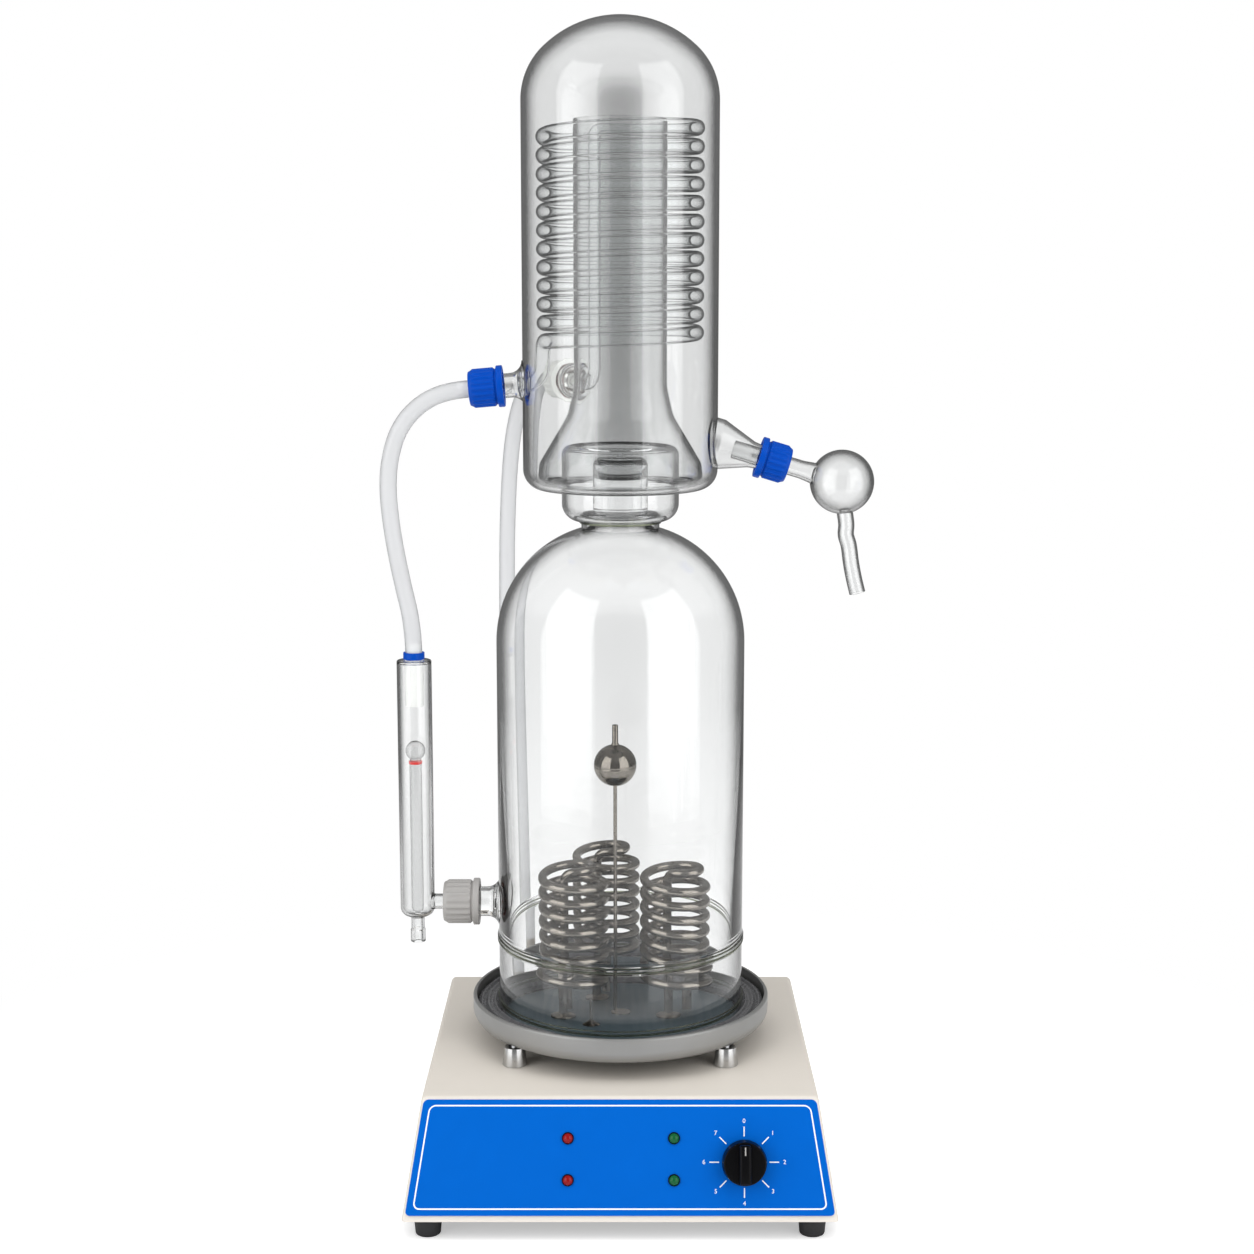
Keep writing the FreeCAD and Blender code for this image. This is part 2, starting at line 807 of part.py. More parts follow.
def rear_panel():
    """Build the rear panel with its vent slots, and its screws."""
    half_low = FRONT_HALF_BASE - S.panel_base
    half_high = FRONT_HALF_HEAD - S.panel_base
    outline = Outline(-half_low, S.cabinet_floor + S.sheet).line(half_low, S.cabinet_floor + S.sheet)
    outline.line(half_high, CABINET_TOP - S.panel_base).line(-half_high, CABINET_TOP - S.panel_base)
    panel = place(padded("rear_blank", outline, S.sheet, "XZ_Plane"), 0, CABINET_BACK + S.sheet, 0)
    slots = []
    for index in range(VENT_COUNT):
        slot = box("vent%d" % index, S.vent_step * (index - (VENT_COUNT - 1) * 0.5) - S.vent_place,
                   CABINET_BACK, S.vent_height, S.vent_width, S.sheet * 6, S.vent_length)
        slots.append(slot)
    inside = CABINET_BACK - S.sheet * 2
    slots.append(peg("rear_tap", S.fitting_thread_radius + S.fit_gap, S.sheet * 6,
                     TAP_ACROSS, inside, S.tap_height, BACK_TURN))
    slots.append(peg("rear_gland", S.fitting_thread_radius + S.fit_gap, S.sheet * 6,
                     GLAND_ACROSS, inside, S.gland_height, BACK_TURN))
    screws = []
    for index, (across, up) in enumerate(rear_screw_places()):
        slots.append(peg("rear_hole%d" % index, S.cover_screw_radius + S.fit_gap, S.sheet * 6,
                         across, inside, up, BACK_TURN))
        shank = peg("rear_shank%d" % index, S.cover_screw_radius, S.sheet, across, CABINET_BACK,
                    up, BACK_TURN)
        head = peg("rear_head%d" % index, S.screw_head_radius, S.screw_head, across,
                   CABINET_BACK + S.sheet, up, BACK_TURN)
        screws.append(fused("rear_screw%d" % index, [shank, head]))
    keep(cut("rear_panel_cut", panel, slots), "rear_panel")
    keep(grouped("cover_screws_group", screws), "cover_screws")


def feet():
    """Build the four rubber feet."""
    rubbers = []
    for index, (across, back) in enumerate(foot_places()):
        foot = DOC.addObject("Part::Cone", "foot%d" % index)
        bind(foot, {"Radius1": S.foot_base_radius, "Radius2": S.foot_top_radius,
                    "Height": S.cabinet_floor})
        rubbers.append(place(foot, across, back, 0))
    keep(grouped("rubber_feet_group", rubbers), "rubber_feet")


def lamps():
    """Build the four signal lamps."""
    for name, across, up in lamp_places():
        outline = Outline(0, S.panel_thick).line(S.lamp_radius, S.panel_thick)
        outline.line(S.lamp_radius, S.panel_thick + S.lamp_dome * 0.5)
        outline.line(S.lamp_radius * 0.6, S.panel_thick + S.lamp_dome)
        outline.line(0, S.panel_thick + S.lamp_dome)
        lens = turned(name + "_lens", outline)
        barrel = peg(name + "_barrel", S.lamp_barrel_radius, S.lamp_barrel + S.panel_thick,
                     up=-S.lamp_barrel)
        keep(on_front(fused(name + "_fuse", [lens, barrel]), across, up), name)


def selector():
    """Build the switch behind the panel, its nut, its shaft and the knob."""
    low = S.panel_thick + S.running_gap
    rim = low + S.knob_skirt
    cap = low + S.knob_height - S.grip_rise
    outline = Outline(S.shaft_radius + S.fit_gap, low + S.knob_hollow)
    outline.line(S.knob_hollow_radius, low + S.knob_hollow).line(S.knob_hollow_radius, low)
    outline.line(S.knob_radius, low).line(S.knob_radius, rim)
    outline.line(S.knob_radius - S.knob_draft, cap).line(0, cap)
    outline.line(0, low + S.knob_hollow + S.shaft_bite)
    outline.line(S.shaft_radius + S.fit_gap, low + S.knob_hollow + S.shaft_bite)
    skirt = turned("knob_skirt_body", outline)
    grip = S.knob_radius - S.knob_draft
    bar = Outline(-S.grip_width * 0.5, -grip + S.knob_draft)
    bar.line(S.grip_width * 0.5, -grip + S.knob_draft)
    bar.line(S.grip_width * 0.5, grip - S.knob_draft).line(-S.grip_width * 0.5, grip - S.knob_draft)
    handle = place(padded("knob_grip", bar, S.grip_rise + S.knob_draft), 0, 0, cap - S.knob_draft)
    knob = fused("selector_knob_fuse", [skirt, handle])
    keep(on_front(knob, S.knob_across, S.knob_up), "selector_knob")

    shaft = rod("shaft", S.shaft_radius, S.shaft_bite + S.knob_hollow + low + S.sheet * 3)
    top = low + S.knob_hollow + S.shaft_bite - S.fit_gap
    shaft.setExpression("Height", (top + S.sheet * 3).formula)
    keep(on_front(shaft, S.knob_across, S.knob_up, -S.sheet * 3), "selector_shaft")

    outline = Outline(S.shaft_radius + S.fit_gap, -S.sheet * 3 - S.fit_gap)
    outline.line(0, -S.sheet * 3 - S.fit_gap).line(0, -S.sheet - S.switch_depth * 0.5)
    outline.line(S.bush_radius + S.sheet, -S.sheet - S.switch_depth * 0.5)
    outline.line(S.bush_radius + S.sheet, -S.sheet).line(S.bush_radius, -S.sheet)
    outline.line(S.bush_radius, S.bush_rise).line(S.shaft_radius + S.fit_gap, S.bush_rise)
    bush = turned("switch_bush", outline)
    deck = -S.sheet * 2 - S.switch_depth
    case = box("switch_case", as_size(0), as_size(0), deck, S.switch_side, S.switch_side,
               S.switch_depth - S.sheet * 3)
    switch = fused("selector_switch_fuse", [bush, case])
    keep(on_front(switch, S.knob_across, S.knob_up), "selector_switch")

    nut = DOC.addObject("Part::Prism", "nut_hex")
    nut.Polygon = 6
    bind(nut, {"Circumradius": S.nut_radius, "Height": S.nut_thick})
    hole = rod("nut_hole", S.bush_radius + S.fit_gap, S.nut_thick + S.overrun * 2, 0, 0, -S.overrun)
    ring = cut("selector_nut_cut", nut, [hole])
    keep(on_front(ring, S.knob_across, S.knob_up, S.panel_thick), "selector_nut")


def equipment():
    """Build the relay, the terminal block and the water valve on the cabinet's floor."""
    deck = S.cabinet_floor + S.sheet
    relay = box("relay_case", S.relay_across, S.relay_back, deck, S.relay_length, S.relay_width,
                S.relay_height)
    heads = [box("relay_step", S.relay_across, S.relay_back, deck + S.relay_height * 0.75,
                 S.relay_length * 0.5, S.relay_width + S.overrun, S.relay_height)]
    keep(cut("heater_relay_cut", relay, heads), "heater_relay")
    block = box("terminal_case", S.terminal_across, S.terminal_back, deck, S.terminal_length,
                S.terminal_width, S.terminal_height)
    grooves = []
    for index in range(5):
        step = S.terminal_length / 6
        grooves.append(box("terminal_gap%d" % index,
                           S.terminal_across - S.terminal_length * 0.5 + step * (index + 1),
                           S.terminal_back, deck + S.terminal_height * 0.6, S.sheet,
                           S.terminal_width + S.overrun, S.terminal_height))
    keep(cut("terminal_block_cut", block, grooves), "terminal_block")
    valve_back = CABINET_BACK + S.sheet - S.fitting_thread - S.fit_gap - S.valve_width * 0.5
    body = box("valve_case", TAP_ACROSS, valve_back, S.tap_height - S.valve_height * 0.5,
               S.valve_length, S.valve_width, S.valve_height)
    saddle = box("valve_foot", TAP_ACROSS, valve_back, deck, S.valve_length,
                 S.valve_width * 0.5, S.tap_height - deck)
    coil = peg("valve_coil", S.valve_coil_radius, S.valve_height, TAP_ACROSS + S.valve_length * 0.5,
               valve_back, S.tap_height, FreeCAD.Rotation(Y_AXIS, 90.0))
    keep(fused("water_valve_fuse", [body, saddle, coil]), "water_valve")


def hose_fitting(label, name, across, back, up, rotation):
    """Build a hose nozzle with a flange, a thread and a barb, along its Z axis."""
    top = S.fitting_flange + S.barb_length
    thread = peg(label + "_thread", S.fitting_thread_radius, S.fitting_thread, up=-S.fitting_thread)
    flange = DOC.addObject("Part::Prism", label + "_flange")
    flange.Polygon = 6
    bind(flange, {"Circumradius": S.fitting_flange_radius, "Height": S.fitting_flange})
    barb = rod(label + "_barb", S.barb_radius, S.barb_length, up=S.fitting_flange)
    bore = peg(label + "_bore", S.fitting_bore_radius, S.fitting_thread + top + S.overrun * 2,
               up=-S.fitting_thread - S.overrun)
    made = cut(label + "_cut", fused(label + "_fuse", [thread, flange, barb]), [bore])
    keep(place(made, across, back, up, rotation), name)


def cabinet_fittings():
    """Build the tap water nozzle, the outlet nozzle and the mains gland."""
    hose_fitting("tap_fitting", "tap_water_nozzle", TAP_ACROSS, CABINET_BACK + S.sheet,
                 S.tap_height, BACK_TURN)
    hose_fitting("outlet_fitting", "coolant_outlet_nozzle", TAP_ACROSS, OUTLET_BACK,
                 CABINET_TOP, None)
    thread = peg("gland_thread", S.fitting_thread_radius, S.fitting_thread * 0.6,
                 up=-S.fitting_thread * 0.6)
    collar_part = DOC.addObject("Part::Prism", "gland_hex")
    collar_part.Polygon = 6
    bind(collar_part, {"Circumradius": S.gland_radius, "Height": S.gland_length * 0.35})
    dome = rod("gland_dome", S.gland_dome_radius, S.gland_length)
    bore = rod("gland_bore", S.gland_bore_radius, S.gland_length * 2, up=-S.gland_length * 0.7)
    gland = cut("gland_cut", fused("gland_fuse", [thread, collar_part, dome]), [bore])
    place(gland, GLAND_ACROSS, CABINET_BACK + S.sheet, S.gland_height, BACK_TURN)
    keep(gland, "mains_gland")


# Tray, plate and heaters

TRAY_FLOOR = CABINET_TOP + S.leg_height
TRAY_DECK = TRAY_FLOOR + S.tray_wall
PLATE_TOP = TRAY_DECK + S.plate_thick
COIL_BASE = PLATE_TOP + S.coil_lift
BALL_HEIGHT = PLATE_TOP + S.ball_lift


def heater_frames():
    """Return the label, middle and turn of each heater."""
    return (
        ("heater_coil_left", S.left_across, S.left_back, LEFT_HEATER_TURN),
        ("heater_coil_right", S.right_across, S.right_back, RIGHT_HEATER_TURN),
        ("heater_coil_rear", S.rear_across, S.rear_back, REAR_HEATER_TURN),
    )


def heater_leg_places():
    """Return where the six heater legs go through the plate."""
    places = []
    rise = math.atan2(float(S.coil_pitch), 2 * math.pi * float(S.coil_radius))
    for _, across, back, turn in heater_frames():
        cosine = math.cos(math.radians(turn))
        sine = math.sin(math.radians(turn))
        outer = S.leg_bend * (1 - math.sin(rise))
        inner = S.head_bend * (1 - math.sin(rise))
        places.append((across + S.coil_radius * cosine - outer * sine,
                       back + S.coil_radius * sine + outer * cosine))
        places.append((across - inner * sine, back + inner * cosine))
    return places


def through_holes(label, start, rise):
    """Make the cutters of the heater legs and the float guide through the plate."""
    tools = []
    for index, (across, back) in enumerate(heater_leg_places()):
        tools.append(peg("%s_leg%d" % (label, index), S.rod_radius + S.leg_hole_gap, rise,
                         across, back, start))
    tools.append(rod(label + "_guide", S.guide_stem_radius + S.fit_gap, rise, 0, S.guide_back, start))
    return tools


def tray_parts():
    """Build the legs, their screws, the tray, the gasket, the plate and the float guide."""
    legs = []
    screws = []
    shank_length = S.sheet + S.leg_height + S.tray_wall
    for index, (across, back) in enumerate(leg_places()):
        leg = DOC.addObject("Part::Cone", "tray_cone%d" % index)
        bind(leg, {"Radius1": S.leg_base_radius, "Radius2": S.leg_top_radius, "Height": S.leg_height})
        hole = peg("leg_hole%d" % index, S.tray_screw_radius + S.fit_gap,
                   S.leg_height + S.overrun * 2, up=-S.overrun)
        legs.append(place(cut("tray_leg%d" % index, leg, [hole]), across, back, CABINET_TOP))
        shank = peg("screw_shank%d" % index, S.tray_screw_radius, shank_length, up=-S.sheet)
        head = DOC.addObject("Part::Prism", "screw_head%d" % index)
        head.Polygon = 6
        bind(head, {"Circumradius": S.screw_head_radius, "Height": S.screw_head})
        place(head, up=-S.sheet - S.screw_head)
        screw = fused("tray_screw%d" % index, [shank, head])
        screws.append(place(screw, across, back, CABINET_TOP))
    keep(grouped("tray_legs_group", legs), "tray_legs")
    keep(grouped("tray_screws_group", screws), "tray_screws")

    inner = TRAY_RADIUS - S.tray_wall
    core = TRAY_RADIUS - S.tray_corner
    outline = Outline(TRAY_OPENING, 0)
    outline.sweep(core, S.tray_corner, S.tray_corner, -90, 0, 2)
    outline.line(TRAY_RADIUS, S.tray_height).line(inner - S.rim_bead, S.tray_height)
    outline.line(inner, S.tray_height - S.rim_bead)
    outline.sweep(core, S.tray_corner, S.tray_corner - S.tray_wall, 0, -90, 2)
    outline.line(TRAY_OPENING, S.tray_wall)
    pan = place(turned("tray_pan", outline), 0, 0, TRAY_FLOOR)
    tools = []
    for index, (across, back) in enumerate(leg_places()):
        tools.append(peg("tray_hole%d" % index, S.tray_screw_radius + S.fit_gap,
                         S.tray_wall * 3, across, back, TRAY_FLOOR - S.tray_wall))
    keep(cut("tray_cut", pan, tools), "tray")

    step = S.plate_thick
    outer = inner - S.rim_bead - S.running_gap
    outline = Outline(PLATE_RADIUS + S.fit_gap, 0).line(core, 0)
    outline.line(outer, step + S.plate_thick * 0.5)
    outline.line(outer, step + S.gasket_rise - S.plate_thick * 0.5)
    outline.line(S.bell_radius + S.tray_wall * 2, step + S.gasket_rise)
    outline.line(S.bell_radius + S.fit_gap, step + S.gasket_rise * 0.5)
    outline.line(S.bell_radius + S.fit_gap, step).line(PLATE_RADIUS + S.fit_gap, step)
    keep(place(turned("gasket_body", outline), 0, 0, TRAY_DECK), "bell_gasket")

    disc = rod("plate_disc", PLATE_RADIUS, S.plate_thick, up=TRAY_DECK)
    tools = through_holes("plate", TRAY_DECK - S.overrun, S.plate_thick + S.overrun * 2)
    keep(cut("heater_plate_cut", disc, tools), "heater_plate")

    stem = S.guide_stem_radius
    ring = rod("guide_ring", S.guide_radius, S.guide_rise, up=S.plate_thick)
    core_rod = rod("guide_core", stem, S.guide_stem + S.plate_thick + S.guide_rise * 0.5,
                   up=-S.guide_stem)
    bore = peg("guide_bore", S.float_rod_radius + S.float_rod_gap, S.guide_stem * 2,
               S.float_across, 0, -S.guide_stem - S.overrun)
    guide = cut("float_guide_cut", fused("guide_fuse", [ring, core_rod]), [bore])
    keep(place(guide, 0, S.guide_back, TRAY_DECK), "float_guide")


def section_ring(centre, direction, radius, sides):
    """Return a many-sided section of a tube, square to its path."""
    side = direction.cross(Z_AXIS)
    if side.Length < 0.1:
        side = direction.cross(X_AXIS)
    side.normalize()
    other = direction.cross(side)
    corners = []
    for index in range(sides + 1):
        angle = 2 * math.pi * (index + 0.5) / sides
        corners.append(centre + side * (radius * math.cos(angle)) + other * (radius * math.sin(angle)))
    return Part.makePolygon(corners)


def swept(edges, start, direction, radius, sides):
    """Sweep a many-sided tube along joined edges."""
    path = Part.Wire(edges)
    return path.makePipeShell([section_ring(start, direction, radius, sides)], True, False)


def arc_from(start, direction, side, radius, angle):
    """Return an arc that leaves along a direction and bends to a side, with its end and heading."""
    centre = start + side * radius

    def on_arc(turned_by):
        return centre - side * (radius * math.cos(turned_by)) + direction * (radius * math.sin(turned_by))

    edge = Part.Arc(start, on_arc(angle * 0.5), on_arc(angle)).toShape()
    heading = direction * math.cos(angle) + side * math.sin(angle)
    return edge, on_arc(angle), heading


def line_to(start, end):
    """Return a straight edge."""
    return Part.LineSegment(start, end).toShape()


def helix_edges(radius, pitch, first, turns, base):
    """Return a right-handed helix as biarcs of about half a turn, with its end and heading."""
    spans = max(1, int(round(turns * 2)))
    step = turns * 2 * math.pi / spans
    rise = math.atan2(pitch, 2 * math.pi * radius)

    def point(angle):
        lift = base + pitch * (angle - first) / (2 * math.pi)
        return FreeCAD.Vector(radius * math.cos(angle), radius * math.sin(angle), lift)

    def heading(angle):
        flat = FreeCAD.Vector(-math.sin(angle), math.cos(angle), 0)
        return flat * math.cos(rise) + Z_AXIS * math.sin(rise)

    edges = []
    for index in range(spans):
        one = first + step * index
        two = one + step
        edges.extend(biarc(point(one), heading(one), point(two), heading(two)))
    last = first + step * spans
    return edges, point(last), heading(last)


def biarc(start, leaving, end, arriving):
    """Return two arcs that join two points with given headings."""
    chord = end - start
    total = leaving + arriving
    square = total.dot(total) - 4
    middle = chord.dot(total)
    reach = (2 * middle - math.sqrt(4 * middle * middle - 4 * square * chord.dot(chord))) / (2 * square)
    reach = abs(reach)
    joint = (start + leaving * reach + end - arriving * reach) * 0.5
    first = arc_with_tangent(start, leaving, joint)
    second = arc_with_tangent(end, arriving * -1, joint)
    return [first.toShape(), Part.Arc(joint, arc_middle(second), end).toShape()]


def arc_with_tangent(start, direction, end):
    """Return the arc that leaves a point along a direction and ends at another point."""
    chord = end - start
    along = chord.dot(direction)
    side = (chord - direction * along).normalize()
    across = chord.dot(side)
    radius = chord.dot(chord) / (2 * across)
    angle = 2 * math.atan2(across, along)
    centre = start + side * radius
    halfway = centre - side * (radius * math.cos(angle * 0.5)) + direction * (radius * math.sin(angle * 0.5))
    return Part.Arc(start, halfway, end)


def arc_middle(arc):
    """Return the point halfway along an arc."""
    return arc.value((arc.FirstParameter + arc.LastParameter) * 0.5)


def least_gap(edges, radius):
    """Return the least gap between parts of a tube that lie more than half a turn apart."""
    points = []
    for edge in edges:
        points.extend(edge.discretize(Number=12)[:-1])
    lengths = [0.0]
    for before, after in zip(points, points[1:]):
        lengths.append(lengths[-1] + before.distanceToPoint(after))
    least = float("inf")
    for index, one in enumerate(points):
        for other in range(index + 1, len(points)):
            if lengths[other] - lengths[index] > 8 * radius:
                least = min(least, one.distanceToPoint(points[other]))
    return least - 2 * radius


def heater_path():
    """Return the path of one heater: a leg, the coil, and a leg back down inside it."""
    radius = float(S.coil_radius)
    pitch = float(S.coil_pitch)
    rise = math.atan2(pitch, 2 * math.pi * radius)
    bend = float(S.leg_bend)
    base = float(COIL_BASE)
    foot = float(PLATE_TOP - S.leg_reach)
    low = FreeCAD.Vector(radius, -bend * (1 - math.sin(rise)), foot)
    knee = FreeCAD.Vector(low.x, low.y, base - bend * math.cos(rise))
    edges = [line_to(low, knee)]
    edge, at, heading = arc_from(knee, Z_AXIS, Y_AXIS, bend, math.pi / 2 - rise)
    edges.append(edge)
    turns, at, heading = helix_edges(radius, pitch, 0.0, HEATER_TURNS, base)
    edges.extend(turns)
    edge, at, heading = arc_from(at, heading, X_AXIS * -1, radius * 0.5, math.pi)
    edges.append(edge)
    down = (Z_AXIS * -1 - heading * (Z_AXIS * -1).dot(heading)).normalize()
    edge, at, heading = arc_from(at, heading, down, float(S.head_bend), math.pi / 2 - rise)
    edges.append(edge)
    edges.append(line_to(at, FreeCAD.Vector(at.x, at.y, foot)))
    return edges, low


def heaters():
    """Build the three heaters and the seats of their inner legs."""
    edges, low = heater_path()
    solid = swept(edges, low, Z_AXIS, float(S.rod_radius), WIRE_SIDES)
    solid = solid.mirror(ORIGIN, Y_AXIS)
    print("heater: least gap %.2f" % least_gap(edges, float(S.rod_radius)))
    for label, across, back, turn in heater_frames():
        base = FreeCAD.Vector(float(across), float(back), 0)
        shaped(label, solid, FreeCAD.Placement(base, FreeCAD.Rotation(Z_AXIS, turn)))
    hole = S.rod_radius + S.fit_gap
    outline = Outline(hole, 0).line(S.seat_radius, 0).line(S.seat_radius, S.seat_thick)
    outline.line(hole, S.seat_thick)
    seats = []
    for index, (across, back) in enumerate(heater_leg_places()):
        if index % 2:
            seats.append(place(turned("seat%d" % index, outline), across, back, PLATE_TOP))
    keep(grouped("heater_seats_group", seats), "heater_seats")


def probe():
    """Build the thin wire probe on its conical foot."""
    outline = Outline(0, 0).line(S.probe_foot_radius, 0)
    outline.line(S.probe_radius, S.probe_foot).line(S.probe_radius, S.probe_rise)
    outline.line(0, S.probe_rise)
    keep(place(turned("probe_body", outline), S.probe_across, S.probe_back, PLATE_TOP), "level_probe")


def ball_and_rod():
    """Build the ball float and the rod that guides it."""
    foot = TRAY_DECK - S.guide_stem - S.float_rod_reach
    length = BALL_HEIGHT - foot
    rod_part = peg("float_rod_body", S.float_rod_radius, length, S.float_across, S.guide_back, foot)
    keep(rod_part, "float_rod")
    ball = DOC.addObject("Part::Sphere", "ball_sphere")
    bind(ball, {"Radius": S.ball_radius})
    neck = peg("ball_neck_rod", S.ball_neck_radius, S.ball_radius + S.ball_neck)
    body = fused("ball_fuse", [ball, neck])
    hole = peg("ball_hole", S.float_rod_radius + S.fit_gap, S.ball_radius + S.overrun,
               0, 0, -S.ball_radius - S.overrun)
    made = cut("ball_float_cut", body, [hole])
    keep(place(made, S.float_across, S.guide_back, BALL_HEIGHT), "ball_float")


# Glass

BELL_SHOULDER = PLATE_TOP + S.bell_side_height
BEAD_HEIGHT = PLATE_TOP + S.bead_lift
BELL_ARM_HEIGHT = PLATE_TOP + S.bell_arm_lift
ARM_CAP_SEAT = S.bell_radius + S.arm_cap_stand


def bell_side(inset):
    """Return the bell's side from its foot to its neck, a set distance inside its outer face."""
    radius = S.bell_radius - inset
    centre = S.bell_radius - S.bell_shoulder_radius
    shoulder = S.bell_shoulder_radius - inset
    neck = S.neck_radius - inset
    run = neck - centre
    climb = root(shoulder * shoulder - run * run)
    side = Outline(radius, PLATE_TOP)
    side.sweep(centre, BELL_SHOULDER, shoulder, 0, BELL_SWEEP, BELL_CHORDS)
    side.line(neck, BELL_SHOULDER + climb)
    return side


def neck_top():
    """Return the height of the bell's neck."""
    run = S.neck_radius - (S.bell_radius - S.bell_shoulder_radius)
    climb = root(S.bell_shoulder_radius * S.bell_shoulder_radius - run * run)
    return BELL_SHOULDER + climb + S.neck_rise


JACKET_FLOOR = neck_top() + S.jacket_lift
COLLAR_TOP = JACKET_FLOOR + S.collar_rise
SPLASH_TOP = JACKET_FLOOR + S.splash_rise
DOME_SPRING = JACKET_FLOOR + S.jacket_side_height
RISER_TOP = JACKET_FLOOR + S.riser_height
RISER_WAIST = JACKET_FLOOR + S.riser_waist_rise
RISER_FOOT_HEIGHT = JACKET_FLOOR + S.riser_foot_rise
ARM_HEIGHT = JACKET_FLOOR + S.arm_rise
GLASS_COIL_BASE = ARM_HEIGHT + S.glass_coil_lift
OUTLET_ARM_HEIGHT = JACKET_FLOOR + S.outlet_arm_rise


def bell():
    """Build the boiler bell with its bead and its side arm."""
    top = neck_top()
    bead = S.bell_radius + S.bead_radius * 0.4
    outline = Outline(0, PLATE_TOP).line(S.bell_radius, PLATE_TOP)
    outline.line(S.bell_radius, BEAD_HEIGHT - S.bead_radius).line(bead, BEAD_HEIGHT)
    outline.line(S.bell_radius, BEAD_HEIGHT + S.bead_radius)
    side = bell_side(as_size(0))
    side.points.pop(0)
    side.bends.pop(0)
    outer = turned("bell_outer", outline.join(side).line(S.neck_radius, top).line(0, top))
    outline = Outline(0, PLATE_TOP - S.overrun).line(S.bell_radius - S.bell_wall, PLATE_TOP - S.overrun)
    outline.join(bell_side(S.bell_wall))
    neck = S.neck_radius - S.bell_wall
    inner = turned("bell_inner", outline.line(neck, top + S.overrun).line(0, top + S.overrun))
    reach = ARM_CAP_SEAT + S.arm_cap_length - S.cap_wall - S.seal_thick
    seat = ARM_CAP_SEAT + S.overrun
    wall = S.bell_radius - S.bell_wall
    arm = Outline(0, wall).line(S.bell_arm_radius + S.bell_arm_flare, wall)
    arm.line(S.bell_arm_radius, S.bell_radius + S.bell_arm_flare)
    arm.line(S.bell_arm_radius, seat).line(S.arm_thread_radius, seat)
    arm.line(S.arm_thread_radius, reach).line(0, reach)
    turn = FreeCAD.Rotation(Y_AXIS, -90.0)
    side_arm = place(turned("bell_arm", arm), 0, 0, BELL_ARM_HEIGHT, turn)
    bore = rod("bell_arm_bore", S.bell_arm_radius - S.bell_wall * 0.9, S.bell_arm_flare * 8,
               -S.bell_radius * 0.8, 0, BELL_ARM_HEIGHT, turn)
    body = fused("bell_body", [outer, side_arm])
    keep(cut("boiler_bell_cut", body, [inner, bore]), "boiler_bell")


def collar_side(inset, low):
    """Return the collar's side from its foot to its mouth, a set distance inside its outer face."""
    core = S.collar_radius - S.collar_corner
    side = Outline(core, low + inset)
    side.sweep(core, low + S.collar_corner, S.collar_corner - inset, -45, 0, 1)
    brow = S.collar_radius - S.collar_brim
    side.sweep(brow, COLLAR_TOP - S.collar_brim, S.collar_brim - inset, 0, 90, 2)
    return side


def collar():
    """Build the glass collar on the neck and the splash cap in it."""
    low = neck_top() + S.fit_gap
    neck = S.neck_radius - S.bell_wall
    outline = Outline(neck, low).join(collar_side(as_size(0), low))
    outline.join(collar_side(S.collar_wall, low).back()).line(neck, low + S.collar_wall)
    keep(turned("collar_body", outline), "neck_collar")

    deck = low + S.collar_wall
    wall = S.splash_wall
    foot = deck + S.splash_foot
    top = SPLASH_TOP
    core = S.splash_radius - S.splash_corner
    outline = Outline(S.splash_radius - wall, deck).line(S.splash_foot_radius, deck)
    outline.line(S.splash_foot_radius, foot).line(S.splash_radius, foot)
    outline.line(S.splash_radius, top - S.splash_corner).line(core, top)
    outline.line(S.teat_radius, top).line(S.teat_radius, top + S.teat_height)
    outline.line(0, top + S.teat_height).line(0, top - wall).line(core, top - wall)
    outline.line(S.splash_radius - wall, top - S.splash_corner)
    hood = turned("splash_hood", outline)
    windows = []
    for index in range(WINDOW_COUNT):
        turn = FreeCAD.Rotation(Z_AXIS, FULL_TURN / WINDOW_COUNT * index - 35.0)
        hole = DOC.addObject("Part::Box", "splash_window%d" % index)
        bind(hole, {"Length": S.splash_radius * 2, "Width": S.window_width, "Height": S.window_height})
        corner = turn.multVec(FreeCAD.Vector(0, -float(S.window_width) * 0.5, 0))
        height = float(SPLASH_TOP - S.window_drop)
        hole.Placement = FreeCAD.Placement(corner + Z_AXIS * height, turn)
        windows.append(hole)
    keep(cut("splash_cap_cut", hood, windows), "splash_cap")


def jacket_side(inset):
    """Return the jacket's side from its floor to its crown, a set distance inside its outer face."""
    corner = S.jacket_corner - inset
    swell = S.jacket_radius - S.dome_shoulder
    drop = S.dome_rise
    spare = S.dome_shoulder
    crown = (swell * swell + drop * drop - spare * spare) / ((drop - spare) * 2)
    middle = DOME_SPRING + S.dome_rise - crown
    meeting = math.degrees(math.atan2(float(DOME_SPRING - middle), float(swell)))
    side = Outline(S.jacket_radius - S.jacket_corner, JACKET_FLOOR + inset)
    side.sweep(S.jacket_radius - S.jacket_corner, JACKET_FLOOR + S.jacket_corner, corner, -45, 0, 1)
    side.sweep(swell, DOME_SPRING, spare - inset, 0, meeting, DOME_CHORDS)
    halfway = (meeting + 90.0) * 0.5
    side.sweep(as_size(0), middle, crown - inset, halfway, 90, 1)
    return side


def hose_arm(label, frame):
    """Build the outer form and the bore of one hose arm of the jacket."""
    seat = S.hose_cap_seat - S.jacket_radius
    reach = seat + S.hose_cap_length - S.cap_wall - S.seal_thick
    flare = S.hose_arm_radius + S.hose_arm_flare
    outline = Outline(0, -S.jacket_wall).line(flare, -S.jacket_wall)
    outline.line(S.hose_arm_radius, S.hose_arm_flare)
    outline.line(S.hose_arm_radius, seat + S.overrun)
    outline.line(S.hose_thread_radius, seat + S.overrun).line(S.hose_thread_radius, reach)
    outline.line(0, reach)
    outer = on_arm(turned(label + "_outer", outline), frame)
    bore = rod(label + "_bore", S.glass_tube_radius + S.running_gap, reach * 3)
    return outer, on_arm(bore, frame, -S.jacket_corner)


